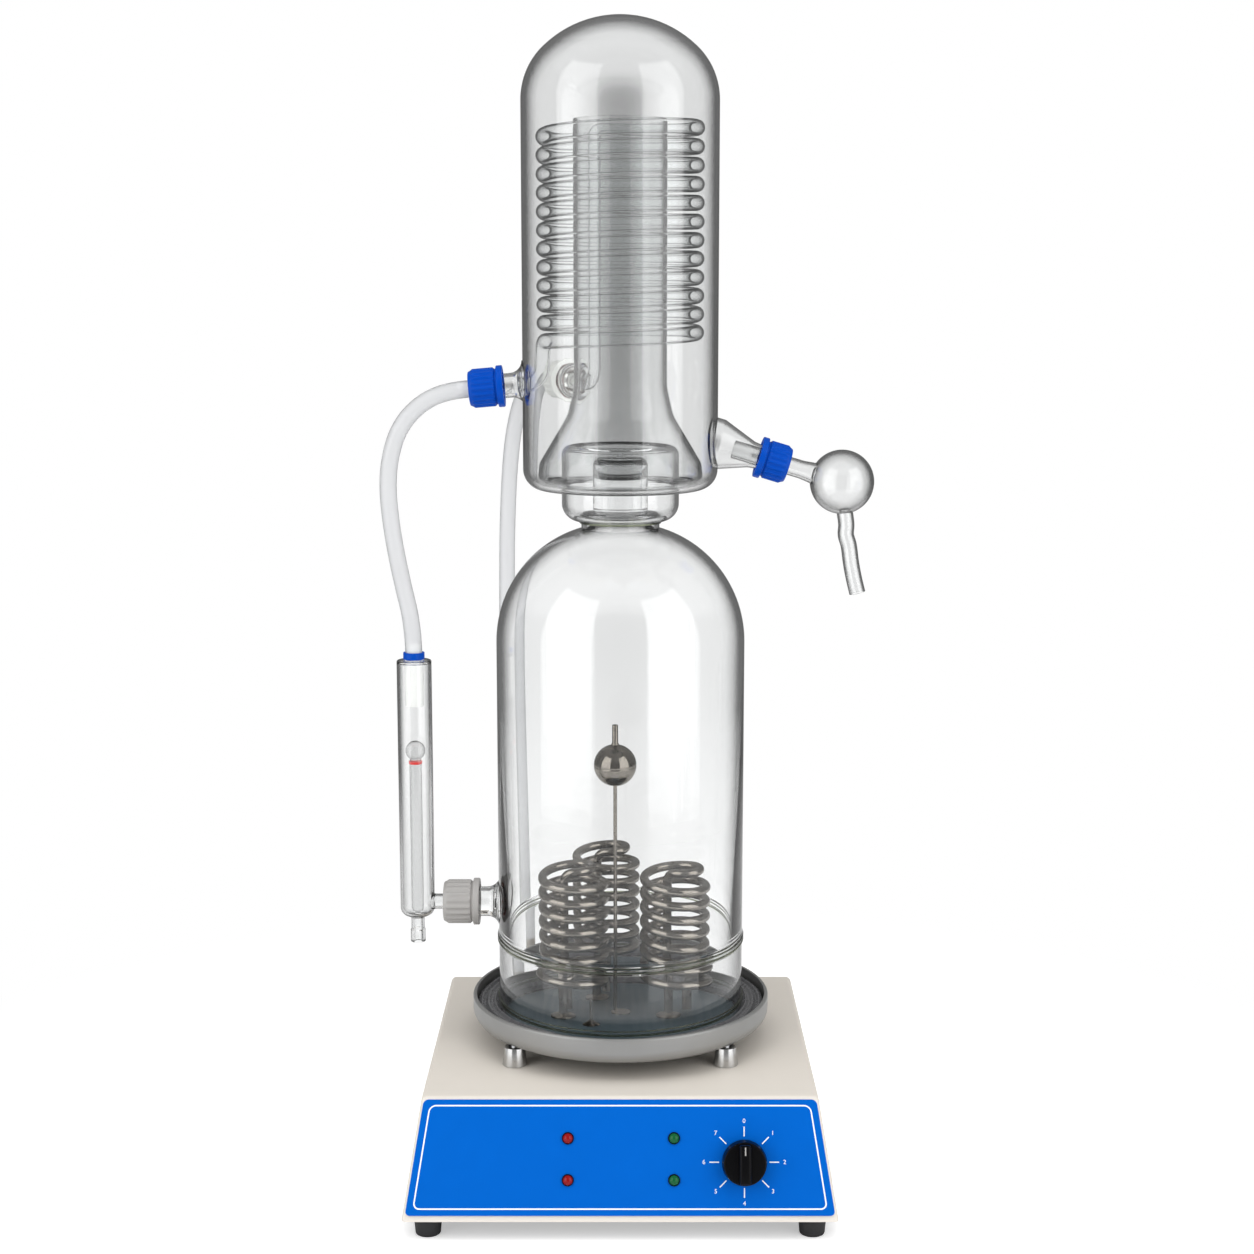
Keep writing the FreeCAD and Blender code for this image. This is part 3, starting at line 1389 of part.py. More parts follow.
def outlet_arm(frame):
    """Build the outer form and the bore of the conical outlet arm."""
    seat = S.outlet_cap_seat
    reach = seat + S.outlet_cap_length - S.cap_wall - S.seal_thick
    start = -S.jacket_corner
    outline = Outline(0, start).line(S.outlet_mouth_radius, start).line(S.outlet_mouth_radius, 0)
    outline.line(S.hose_arm_radius, seat - S.overrun).line(S.hose_arm_radius, seat + S.overrun)
    outline.line(S.hose_thread_radius, seat + S.overrun * 2).line(S.hose_thread_radius, reach)
    outline.line(0, reach)
    outer = on_arm(turned("outlet_outer", outline), frame)
    wall = S.jacket_wall * 0.7
    fit = S.bulb_tube_radius + S.running_gap
    outline = Outline(0, start).line(S.outlet_mouth_radius - wall, start)
    outline.line(S.outlet_mouth_radius - wall, 0)
    outline.line(fit, seat - S.overrun).line(fit, reach + S.overrun)
    outline.line(0, reach + S.overrun)
    return outer, on_arm(turned("outlet_bore", outline), frame)


RETURN_FRAME = arm_frame(180.0, RETURN_ARM_TILT, ARM_HEIGHT)
REAR_FRAME = arm_frame(REAR_ARM_AZIMUTH, 0.0, ARM_HEIGHT)
OUTLET_FRAME = arm_frame(0.0, OUTLET_ARM_TILT, OUTLET_ARM_HEIGHT)


def jacket():
    """Build the condenser jacket with its three arms."""
    lip = S.collar_radius + S.fit_gap
    outline = Outline(0, JACKET_FLOOR).join(jacket_side(as_size(0)))
    outer = turned("jacket_outer", outline)
    inner = turned("jacket_inner", Outline(0, JACKET_FLOOR + S.jacket_wall).join(
        jacket_side(S.jacket_wall)))
    mouth = rod("jacket_mouth", lip, S.jacket_wall + S.overrun * 2, 0, 0, JACKET_FLOOR - S.overrun)
    return_outer, return_bore = hose_arm("return_arm", RETURN_FRAME)
    rear_outer, rear_bore = hose_arm("rear_arm", REAR_FRAME)
    outlet_outer, outlet_bore = outlet_arm(OUTLET_FRAME)
    body = fused("jacket_body", [outer, return_outer, rear_outer, outlet_outer])
    keep(cut("jacket_cut", body, [inner, mouth, return_bore, rear_bore, outlet_bore]),
         "condenser_jacket")


def riser():
    """Build the steam riser: a tube that flares to a foot on the jacket's floor."""
    floor = JACKET_FLOOR + S.jacket_wall + S.fit_gap
    wall = S.riser_wall
    foot = S.riser_foot_radius
    bend = S.riser_foot_bend
    tail = foot - bend
    outline = Outline(S.riser_radius, RISER_TOP).line(S.riser_radius, RISER_WAIST)
    outline.line(foot, RISER_FOOT_HEIGHT).line(foot, floor + bend)
    outline.line(tail, floor).line(tail - wall, floor).line(foot - wall, floor + bend)
    outline.line(foot - wall, RISER_FOOT_HEIGHT - wall * 0.5)
    outline.line(S.riser_radius - wall, RISER_WAIST - wall * 0.5)
    outline.line(S.riser_radius - wall, RISER_TOP)
    keep(turned("riser_body", outline), "steam_riser")


def glass_coil():
    """Build the condenser coil: up from the return arm, round the riser, and down to the rear arm."""
    radius = float(S.glass_coil_radius)
    pitch = float(S.glass_coil_pitch)
    tube = float(S.glass_tube_radius)
    rise = math.atan2(pitch, 2 * math.pi * radius)
    bend = float(S.glass_leg_bend)
    base = float(GLASS_COIL_BASE)
    leg_radius = math.hypot(radius, bend * (1 - math.sin(rise)))
    lead = math.atan2(bend * (1 - math.sin(rise)), radius)
    first = math.pi + lead
    tilt = math.radians(RETURN_ARM_TILT)
    arm_bend = float(S.glass_arm_bend)
    outward = X_AXIS * -math.cos(tilt) - Z_AXIS * math.sin(tilt)
    wall = X_AXIS * -float(S.jacket_radius) + Z_AXIS * float(ARM_HEIGHT)
    drop = (leg_radius - float(S.jacket_radius)) / math.cos(tilt)
    corner = wall + outward * drop
    cut_back = arm_bend * math.tan((math.pi / 2 - tilt) * 0.5)
    start = wall + outward * ((float(S.glass_end_reach) - float(S.jacket_radius)) / math.cos(tilt))
    turn_in = corner + outward * cut_back
    edges = [line_to(start, turn_in)]
    inward = outward * -1
    up_side = (Z_AXIS - inward * Z_AXIS.dot(inward)).normalize()
    edge, at, heading = arc_from(turn_in, inward, up_side, arm_bend, math.pi / 2 - tilt)
    edges.append(edge)
    knee = FreeCAD.Vector(at.x, at.y, base - bend * math.cos(rise))
    edges.append(line_to(at, knee))
    tangent = FreeCAD.Vector(-math.sin(first), math.cos(first), 0)
    edge, at, heading = arc_from(knee, Z_AXIS, tangent, bend, math.pi / 2 - rise)
    edges.append(edge)
    sweep = float(S.glass_head_sweep)
    head_bend = float(S.glass_head_bend)
    sweep_angle = math.radians(62.0)
    plan = FreeCAD.Vector(radius - sweep + sweep * math.cos(sweep_angle), sweep * math.sin(sweep_angle), 0)
    plan += FreeCAD.Vector(-math.sin(sweep_angle), math.cos(sweep_angle), 0) * head_bend
    last = math.radians(REAR_ARM_AZIMUTH) - math.atan2(plan.y, plan.x) + 24 * math.pi
    turns = (last - first) / (2 * math.pi)
    coil, at, heading = helix_edges(radius, pitch, first, turns, base)
    edges.extend(coil)
    side = FreeCAD.Vector(-at.x, -at.y, 0).normalize()
    edge, at, heading = arc_from(at, heading, side, sweep, sweep_angle)
    edges.append(edge)
    down = (Z_AXIS * -1 - heading * (Z_AXIS * -1).dot(heading)).normalize()
    turn_down = math.acos(max(-1.0, min(1.0, heading.dot(Z_AXIS * -1))))
    edge, at, heading = arc_from(at, heading, down, head_bend, turn_down)
    edges.append(edge)
    rear = FreeCAD.Vector(math.cos(math.radians(REAR_ARM_AZIMUTH)),
                          math.sin(math.radians(REAR_ARM_AZIMUTH)), 0)
    low = FreeCAD.Vector(at.x, at.y, float(ARM_HEIGHT) + arm_bend)
    edges.append(line_to(at, low))
    edge, at, heading = arc_from(low, Z_AXIS * -1, rear, arm_bend, math.pi / 2)
    edges.append(edge)
    edges.append(line_to(at, rear * float(S.glass_end_reach) + Z_AXIS * float(ARM_HEIGHT)))
    print("condenser coil: %.2f turns, least gap %.2f" % (turns, least_gap(edges, tube)))
    shaped("condenser_coil", swept(edges, start, inward, tube, WIRE_SIDES))


# Screw joints

def screw_joint(prefix, frame, seat, cap_radius, band_radius, length, thread, tube, hole):
    """Build a ribbed screw cap and the seal in it, along the Z axis of an arm."""
    inside = thread + S.running_gap
    band = rod(prefix + "_band", band_radius, S.cap_band)
    grip = rod(prefix + "_grip", cap_radius - S.cap_groove, length)
    ribs = padded(prefix + "_ribs", rib_outline(cap_radius), length - S.cap_band - S.cap_wall)
    place(ribs, up=S.cap_band + S.cap_wall * 0.5)
    well = rod(prefix + "_well", inside, length - S.cap_wall + S.overrun, up=-S.overrun)
    bore = rod(prefix + "_hole", hole, length * 2)
    cap = cut(prefix + "_cap_cut", fused(prefix + "_cap_fuse", [band, grip, ribs]), [well, bore])
    keep(on_arm(cap, frame, seat), prefix + "_cap")

    outline = Outline(tube + S.fit_gap, 0).line(thread, 0).line(thread, S.seal_thick)
    outline.line(tube + S.fit_gap, S.seal_thick)
    seal = turned(prefix + "_seal_body", outline)
    keep(on_arm(seal, frame, seat + length - S.cap_wall - S.seal_thick), prefix + "_cap_seal")


def rib_outline(radius):
    """Return the toothed outline of a cap's grip."""
    outline = None
    for index in range(RIB_COUNT * 2):
        angle = math.pi * index / RIB_COUNT
        reach = radius + S.rib_rise * (0.5 if index % 2 else -0.5)
        across = reach * chord_share(math.cos(angle))
        up = reach * chord_share(math.sin(angle))
        if outline is None:
            outline = Outline(across, up)
        else:
            outline.line(across, up)
    return outline


def hose_nozzle(label, frame):
    """Build the nozzle that goes from a hose arm through its cap into the hose."""
    seat = S.hose_cap_seat - S.jacket_radius
    face = seat + S.hose_cap_length
    start = face - S.cap_wall - S.seal_thick - S.nozzle_inside
    low = S.glass_tube_radius - S.fit_gap
    tip = face + S.nozzle_outside
    step = face + S.fit_gap
    outline = Outline(S.fitting_bore_radius, start).line(low, start).line(low, step)
    outline.line(S.barb_radius, step).line(S.barb_radius, tip).line(S.fitting_bore_radius, tip)
    keep(on_arm(turned(label + "_body", outline), frame), label)


def screw_joints():
    """Build the four screw caps with their seals, and the two hose nozzles."""
    seat = S.hose_cap_seat - S.jacket_radius
    for prefix, frame in (("return", RETURN_FRAME), ("supply", REAR_FRAME)):
        screw_joint(prefix, frame, seat, S.hose_cap_radius, S.hose_cap_band_radius,
                    S.hose_cap_length, S.hose_thread_radius, S.glass_tube_radius,
                    S.hose_radius + S.running_gap)
        hose_nozzle(prefix + "_nozzle", frame)
    screw_joint("outlet", OUTLET_FRAME, S.outlet_cap_seat, S.hose_cap_radius,
                S.hose_cap_band_radius, S.outlet_cap_length, S.hose_thread_radius,
                S.bulb_tube_radius, S.bulb_tube_radius + S.running_gap)
    turn = FreeCAD.Rotation(Y_AXIS, -90.0)
    frame = FreeCAD.Placement(Z_AXIS * float(BELL_ARM_HEIGHT), turn)
    screw_joint("level", frame, ARM_CAP_SEAT, S.arm_cap_radius, S.arm_cap_band_radius,
                S.arm_cap_length, S.arm_thread_radius, S.level_arm_radius,
                S.level_arm_radius + S.running_gap)


def delivery_bulb():
    """Build the glass bulb with its tube and its bent spout."""
    middle = OUTLET_FRAME.multVec(Z_AXIS * float(S.bulb_reach))
    outer = bulb_form("bulb_outer", as_size(0), middle, as_size(0))
    inner = bulb_form("bulb_inner", S.bulb_wall, middle, S.overrun)
    made = cut("delivery_bulb_cut", fused("bulb_outer_fuse", outer), inner)
    keep(made, "delivery_bulb")


def bulb_form(label, inset, middle, past):
    """Return the sphere, the tube and the spout a set distance inside their outer faces."""
    share = inset / S.bulb_wall
    ball = DOC.addObject("Part::Sphere", label + "_ball")
    bind(ball, {"Radius": S.bulb_radius - inset})
    ball.Placement = FreeCAD.Placement(middle, FreeCAD.Rotation())
    tube_radius = S.bulb_tube_radius - S.bulb_tube_wall * share
    tube = rod(label + "_tube", tube_radius, S.bulb_reach - S.bulb_tube_start - S.bulb_radius * 0.5 + past)
    on_arm(tube, OUTLET_FRAME, S.bulb_tube_start - past)
    spout_radius = S.spout_radius - S.spout_wall * share
    corners = [middle]
    for across, drop in ((S.spout_root_across, S.spout_root_drop),
                         (S.spout_knee_across, S.spout_knee_drop),
                         (S.spout_tip_across, S.spout_tip_drop)):
        corners.append(middle + FreeCAD.Vector(float(across), 0, -float(drop)))
    pieces = [ball, tube]
    last = len(corners) - 2
    for index in range(1, last + 1):
        heading = corners[index + 1] - corners[index]
        length = as_size(heading.Length)
        turn = FreeCAD.Rotation(Z_AXIS, heading)
        over = past if index == last else as_size(0)
        piece = rod("%s_spout%d" % (label, index), spout_radius, length + over)
        piece.Placement = FreeCAD.Placement(corners[index], turn)
        pieces.append(piece)
        if index > 1:
            knee = DOC.addObject("Part::Sphere", "%s_knee%d" % (label, index))
            bind(knee, {"Radius": spout_radius})
            knee.Placement = FreeCAD.Placement(corners[index], FreeCAD.Rotation())
            pieces.append(knee)
    return pieces


# Level tube

LEVEL_ACROSS = -(S.bell_radius + S.level_stand)
LEVEL_BASE = BELL_ARM_HEIGHT - S.level_drop
LEVEL_TOP = LEVEL_BASE + S.level_length
FLOAT_BULB_HEIGHT = LEVEL_BASE + S.float_bulb_rise


def level_side(inset, drop):
    """Return the level tube's side from its drain to its shoulder, a set distance inside."""
    core = S.level_radius - S.level_corner
    side = Outline(drop, LEVEL_BASE + inset)
    side.sweep(core, LEVEL_BASE + S.level_corner, S.level_corner - inset, -90, 0, 2)
    return side


def level_tube():
    """Build the level tube, its inlet tube, the blue ring and the float."""
    low = LEVEL_BASE - S.drain_drop - S.drain_sleeve
    wall = S.level_wall
    top = LEVEL_TOP
    outline = Outline(0, low).line(S.drain_sleeve_radius, low)
    outline.line(S.drain_sleeve_radius, low + S.drain_sleeve)
    outline.line(S.drain_radius, low + S.drain_sleeve)
    outline.join(level_side(as_size(0), S.drain_radius)).line(S.level_radius, top).line(0, top)
    outer = place(turned("level_outer", outline), LEVEL_ACROSS, 0, 0)
    outline = Outline(0, low - S.overrun).line(S.drain_bore_radius, low - S.overrun)
    outline.join(level_side(wall, S.drain_bore_radius))
    outline.line(S.level_radius - wall, top - wall).line(0, top - wall)
    inner = place(turned("level_inner", outline), LEVEL_ACROSS, 0, 0)
    mouth = rod("level_mouth", S.inlet_radius + S.fit_gap, wall * 3, LEVEL_ACROSS, 0, top - wall * 2)
    turn = FreeCAD.Rotation(Y_AXIS, 90.0)
    length = -LEVEL_ACROSS - S.level_arm_reach
    arm = rod("level_arm", S.level_arm_radius, length, LEVEL_ACROSS, 0, BELL_ARM_HEIGHT, turn)
    bore = rod("level_arm_bore", S.level_arm_radius - S.level_arm_wall, length + S.overrun,
               LEVEL_ACROSS, 0, BELL_ARM_HEIGHT, turn)
    body = fused("level_body", [outer, arm])
    keep(cut("level_tube_cut", body, [inner, mouth, bore]), "level_tube")

    bottom = top - S.inlet_drop
    bore = S.inlet_radius - S.inlet_wall
    nipple = S.hose_bore_radius - S.fit_gap * 2
    outline = Outline(bore, bottom).line(S.inlet_radius, bottom).line(S.inlet_radius, top + S.running_gap)
    outline.line(nipple, top + S.running_gap).line(nipple, top + S.inlet_nipple)
    outline.line(nipple - S.inlet_wall, top + S.inlet_nipple).line(nipple - S.inlet_wall, top - wall)
    outline.line(bore, top - wall)
    keep(place(turned("inlet_body", outline), LEVEL_ACROSS, 0, 0), "level_inlet_tube")

    foot = top + S.running_gap * 2
    outline = Outline(S.hose_radius + S.running_gap, foot).line(S.ring_radius, foot)
    outline.line(S.ring_radius, foot + S.ring_height)
    outline.line(S.hose_radius + S.running_gap, foot + S.ring_height)
    keep(place(turned("ring_body", outline), LEVEL_ACROSS, 0, 0), "hose_connector")

    low = LEVEL_BASE + wall + S.running_gap
    stem = S.float_stem_radius
    bulb = S.float_bulb_radius
    outline = Outline(0, low).line(stem * 0.5, low).line(stem, low + stem * 0.8)
    outline.line(stem, FLOAT_BULB_HEIGHT - bulb * 0.8)
    outline.sweep(as_size(0), FLOAT_BULB_HEIGHT, bulb, -50, 50, 3)
    outline.line(0, FLOAT_BULB_HEIGHT + bulb)
    keep(place(turned("float_body", outline), LEVEL_ACROSS, 0, 0), "level_float")
    mark = FLOAT_BULB_HEIGHT - bulb - S.mark_height - S.running_gap
    outline = Outline(stem + S.fit_gap, mark).line(stem + S.mark_thick, mark)
    outline.line(stem + S.mark_thick, mark + S.mark_height).line(stem + S.fit_gap, mark + S.mark_height)
    keep(place(turned("mark_body", outline), LEVEL_ACROSS, 0, 0), "float_mark")


# Free hoses

def cap_mouth(frame):
    """Return where a hose leaves its cap."""
    face = S.hose_cap_seat - S.jacket_radius + S.hose_cap_length
    return frame.multVec(Z_AXIS * float(face + S.running_gap + S.fit_gap))


def carried(points, start, finish):
    """Return a hose's drawn points, each moved along with the two ends by its share."""
    drawn = [FreeCAD.Vector(*point) for point in points]
    first = start - drawn[0]
    last = finish - drawn[-1]
    steps = len(drawn) - 1
    for shift in (first, last):
        for axis in ("x", "y", "z"):
            setattr(shift, axis, round(getattr(shift, axis), 1))
    return [point + first * (1 - index / steps) + last * (index / steps)
            for index, point in enumerate(drawn)]


def hose(label, points, start, finish):
    """Build a free hose: straight runs joined by tangent arcs, with its bore."""
    corners = carried(points, start, finish)
    edges = []
    radii = []
    at = corners[0]
    for before, corner, after in zip(corners, corners[1:], corners[2:]):
        back = (before - corner)
        ahead = (after - corner)
        run = min(back.Length, ahead.Length)
        back.normalize()
        ahead.normalize()
        turn = math.pi - back.getAngle(ahead)
        radius = ARC_SHARE * run / math.tan(turn * 0.5)
        radii.append(radius)
        leave = corner + back * (ARC_SHARE * run)
        arrive = corner + ahead * (ARC_SHARE * run)
        inside = (back + ahead).normalize()
        centre = corner + inside * (radius / math.cos(turn * 0.5))
        edges.append(line_to(at, leave))
        edges.append(Part.Arc(leave, centre - inside * radius, arrive).toShape())
        at = arrive
    edges.append(line_to(at, corners[-1]))
    heading = (corners[1] - corners[0]).normalize()
    outer = swept(edges, corners[0], heading, float(S.hose_radius), TUBE_SIDES)
    bore = swept(edges, corners[0], heading, float(S.hose_bore_radius), TUBE_SIDES)
    length = sum(edge.Length for edge in edges)
    sides = TUBE_SIDES * 0.5 * math.sin(2 * math.pi / TUBE_SIDES)
    section = sides * float(S.hose_radius) ** 2
    print("%s: length %.1f, volume ratio %.4f, radii %s" % (
        label, length, outer.Volume / (section * length), " ".join("%.0f" % radius for radius in radii)))
    shaped(label, outer.cut(bore))


# The whole object

def build():
    """Build every sub-part."""
    cabinet()
    feet()
    lamps()
    selector()
    equipment()
    cabinet_fittings()
    tray_parts()
    heaters()
    probe()
    ball_and_rod()
    bell()
    collar()
    jacket()
    riser()
    glass_coil()
    screw_joints()
    delivery_bulb()
    level_tube()
    level_end = FreeCAD.Vector(float(LEVEL_ACROSS), 0, float(LEVEL_TOP + S.hose_lift))
    outlet_end = FreeCAD.Vector(float(TAP_ACROSS), float(OUTLET_BACK),
                                float(CABINET_TOP + S.fitting_flange + S.fit_gap))
    hose("return_hose", RETURN_HOSE, cap_mouth(RETURN_FRAME), level_end)
    hose("supply_hose", SUPPLY_HOSE, cap_mouth(REAR_FRAME), outlet_end)


def check_and_write():
    """Check every object and write each sub-part to its own file."""
    DOC.recompute()
    faults = []
    for thing in DOC.Objects:
        if "Invalid" in thing.State or "Error" in thing.State:
            faults.append(thing.Name + " did not compute")
    for part in PARTS:
        if part.Shape.isNull() or not part.Shape.isValid():
            faults.append(part.Label + " has no valid shape")
    if faults:
        raise RuntimeError("; ".join(faults))
    os.makedirs("parts", exist_ok=True)
    for part in PARTS:
        part.Shape.exportStep("parts/" + part.Label + ".step")
    print("%d sub-parts written" % len(PARTS))


build()
check_and_write()
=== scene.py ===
"""Dresses the glass water distiller: a cabinet, a boiler bell with heaters, and a condenser.

Sizes are in millimetres until a mesh is finished, and the finished meshes are in metres.
"""

import logging
import math
from dataclasses import dataclass, field
from enum import Enum

import bmesh
import bpy
from mathutils import Matrix, Vector

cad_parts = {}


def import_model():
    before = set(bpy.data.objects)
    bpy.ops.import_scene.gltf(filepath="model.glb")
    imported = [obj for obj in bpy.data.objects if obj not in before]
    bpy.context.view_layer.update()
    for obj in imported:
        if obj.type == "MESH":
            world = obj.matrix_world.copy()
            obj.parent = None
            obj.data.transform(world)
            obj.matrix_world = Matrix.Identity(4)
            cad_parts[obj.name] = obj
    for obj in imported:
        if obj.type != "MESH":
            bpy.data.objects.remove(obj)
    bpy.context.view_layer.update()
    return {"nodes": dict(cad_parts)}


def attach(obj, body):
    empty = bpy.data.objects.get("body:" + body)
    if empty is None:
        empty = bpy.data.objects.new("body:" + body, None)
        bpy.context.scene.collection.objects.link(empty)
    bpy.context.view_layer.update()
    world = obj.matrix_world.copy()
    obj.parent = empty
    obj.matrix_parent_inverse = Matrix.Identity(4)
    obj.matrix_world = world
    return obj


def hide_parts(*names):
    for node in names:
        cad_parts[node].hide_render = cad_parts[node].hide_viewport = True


LOG = logging.getLogger("distiller")
MM = 0.001
TURN = 2 * math.pi
BRUSH_STRETCH = (1.0, 0.04, 1.0)
COAT_ROUGHNESS = 0.08
RELIEF_HEIGHT = 0.0004
Input = float | tuple[float, ...] | bpy.types.NodeSocket


class Tree:
    """A node tree under work."""

    def __init__(self, owner: bpy.types.ID) -> None:
        """Turn on an owner's nodes and keep them."""
        owner.use_nodes = True
        self.nodes = owner.node_tree.nodes
        self.links = owner.node_tree.links

    def add(self, kind: str, inputs: dict[str | int, Input] | None = None,
            **settings: str | bool) -> bpy.types.Node:
        """Add a node.

        Args:
            kind: The node's type, without its prefix.
            inputs: Values or sockets for its inputs, by name or number.
            settings: Values of its own properties.

        Returns:
            The node.
        """
        node = self.nodes.new("ShaderNode" + kind)
        for name, value in settings.items():
            setattr(node, name, value)
        self.feed(node, inputs or {})
        return node

    def feed(self, node: bpy.types.Node, inputs: dict[str | int, Input]) -> None:
        """Set a node's inputs, or link them to sockets."""
        for name, value in inputs.items():
            if isinstance(value, bpy.types.NodeSocket):
                self.links.new(value, node.inputs[name])
            else:
                node.inputs[name].default_value = value

    def math(self, operation: str, one: Input, two: Input = 0.0,
             clamp: bool = False) -> bpy.types.NodeSocket:
        """Return the result of a sum.

        Args:
            operation: The kind of sum.
            one: The first value.
            two: The second value.
            clamp: Whether the result is held between 0 and 1.

        Returns:
            The result's socket.
        """
        node = self.add("Math", {0: one, 1: two}, operation=operation, use_clamp=clamp)
        return node.outputs["Value"]

    def span(self, value: Input, first: float, last: float, low: float = 0.0, high: float = 1.0,
             course: str = "LINEAR") -> bpy.types.NodeSocket:
        """Return a value carried over from one span to another.

        Args:
            value: The value.
            first: Where the first span begins.
            last: Where the first span ends.
            low: Where the second span begins.
            high: Where the second span ends.
            course: The kind of passage between them.

        Returns:
            The result's socket.
        """
        node = self.add("MapRange", {"Value": value, "From Min": first, "From Max": last,
                                     "To Min": low, "To Max": high}, interpolation_type=course)
        return node.outputs["Result"]

    def ramp(self, value: Input,
             stops: list[tuple[float, tuple[float, ...]]]) -> bpy.types.NodeSocket:
        """Return the colour that a value has on a ramp.

        Args:
            value: The value.
            stops: Each stop's place and colour, in rising order.

        Returns:
            The colour's socket.
        """
        node = self.add("ValToRGB", {"Fac": value})
        marks = node.color_ramp.elements
        marks.remove(marks[0])
        for index, (place, color) in enumerate(stops):
            mark = marks.new(place) if index else marks[0]
            mark.position = place
            mark.color = (*color, 1.0)
        return node.outputs["Color"]

    def noise(self, place: bpy.types.Node, scale: float, detail: float) -> bpy.types.NodeSocket:
        """Return a noise over a placement node."""
        node = self.add("TexNoise", {"Vector": place.outputs["Vector"], "Scale": scale,
                                     "Detail": detail})
        return node.outputs["Fac"]

    def blend(self, share: Input, one: bpy.types.Node, two: bpy.types.Node) -> bpy.types.Node:
        """Mix the first output of two shaders and return the mixing node."""
        return self.add("MixShader", {"Fac": share, 1: one.outputs[0], 2: two.outputs[0]})


class Grain(Enum):
    """The fine surface of a finish."""

    SMOOTH = "smooth"
    PAINT = "paint"
    BRUSHED = "brushed"
    MOULDED = "moulded"
    POLISHED = "polished"


@dataclass(frozen=True)
class Finish:
    """An opaque finish with its fine surface.

    Args:
        name: The finish's name.
        color: Its base colour.
        roughness: Its mean roughness.
        metallic: 1 for bare metal.
        grain: The kind of fine surface.
        scale: Features of the fine surface in each metre.
        bump: Height of the fine surface, as a strength.
        coat: Weight of a clear coat.
        spread: How far the colour and the roughness vary.
        specular: Strength of the surface's own gloss.
    """

    name: str
    color: tuple[float, float, float]
    roughness: float
    metallic: float = 0.0
    grain: Grain = Grain.SMOOTH
    scale: float = 400.0
    bump: float = 0.05
    coat: float = 0.0
    spread: float = 0.06
    specular: float = 0.5

    def make(self) -> bpy.types.Material:
        """Build the material and return it."""
        material = bpy.data.materials.new(self.name)
        tree = Tree(material)
        place = tree.add("TexCoord")
        mapping = tree.add("Mapping", {"Vector": place.outputs["Object"]})
        if self.grain is Grain.BRUSHED:
            mapping.inputs["Scale"].default_value = BRUSH_STRETCH
        fine = tree.noise(mapping, self.scale, 3.0)
        broad = tree.noise(mapping, self.scale * 0.05 + 6.0, 2.0)
        tint = tree.span(broad, 0.0, 1.0, 1.0 - self.spread, 1.0 + self.spread)
        shade = tree.add("Mix", {"Factor": 1.0, "A": (*self.color, 1.0), "B": tint},
                         data_type="RGBA", blend_type="MULTIPLY")
        swing = self.spread * 3
        rough = tree.span(fine, 0.0, 1.0, max(0.02, self.roughness * (1.0 - swing)),
                          min(1.0, self.roughness * (1.0 + swing)))
        shader = tree.nodes["Principled BSDF"]
        tree.feed(shader, {"Metallic": self.metallic, "Specular IOR Level": self.specular,
                           "Coat Weight": self.coat, "Coat Roughness": COAT_ROUGHNESS,
                           "Base Color": shade.outputs["Result"], "Roughness": rough})
        if self.grain is not Grain.POLISHED:
            relief = tree.add("Bump", {"Strength": self.bump, "Distance": RELIEF_HEIGHT,
                                       "Height": fine})
            tree.feed(shader, {"Normal": relief.outputs["Normal"]})
        return material


@dataclass(frozen=True)
class GlassFinish:
    """A glass whose colour carries painted shade, darkening as its wall turns away and dark where
    it is looked along.

    Args:
        name: The finish's name.
        tones: Pairs of how far the wall turns away, from 0 to 1, and the painted shade there, as a
            brightness.
        tint: Colour that multiplies the tones.
        roughness: Surface roughness.
        weight: Share of light that goes through.
        ior: Index of refraction.
    """

    name: str
    tones: tuple[tuple[float, float], ...]
    tint: tuple[float, float, float] = (0.995, 1.0, 1.0)
    roughness: float = 0.0
    weight: float = 1.0
    ior: float = 1.46

    def make(self) -> bpy.types.Material:
        """Build the material and return it."""
        material = bpy.data.materials.new(self.name)
        tree = Tree(material)
        # Painted shade: the base colour darkens by how far the wall turns away from the eye.
        facing = tree.add("LayerWeight", {"Blend": 0.5})
        painted_shade = tree.ramp(facing.outputs["Facing"],
                         [(turned, tuple(part * painted_shade for part in self.tint))
                          for turned, painted_shade in self.tones])
        tree.feed(tree.nodes["Principled BSDF"], {
            "Transmission Weight": self.weight, "IOR": self.ior, "Roughness": self.roughness,
            "Base Color": painted_shade})
        return material


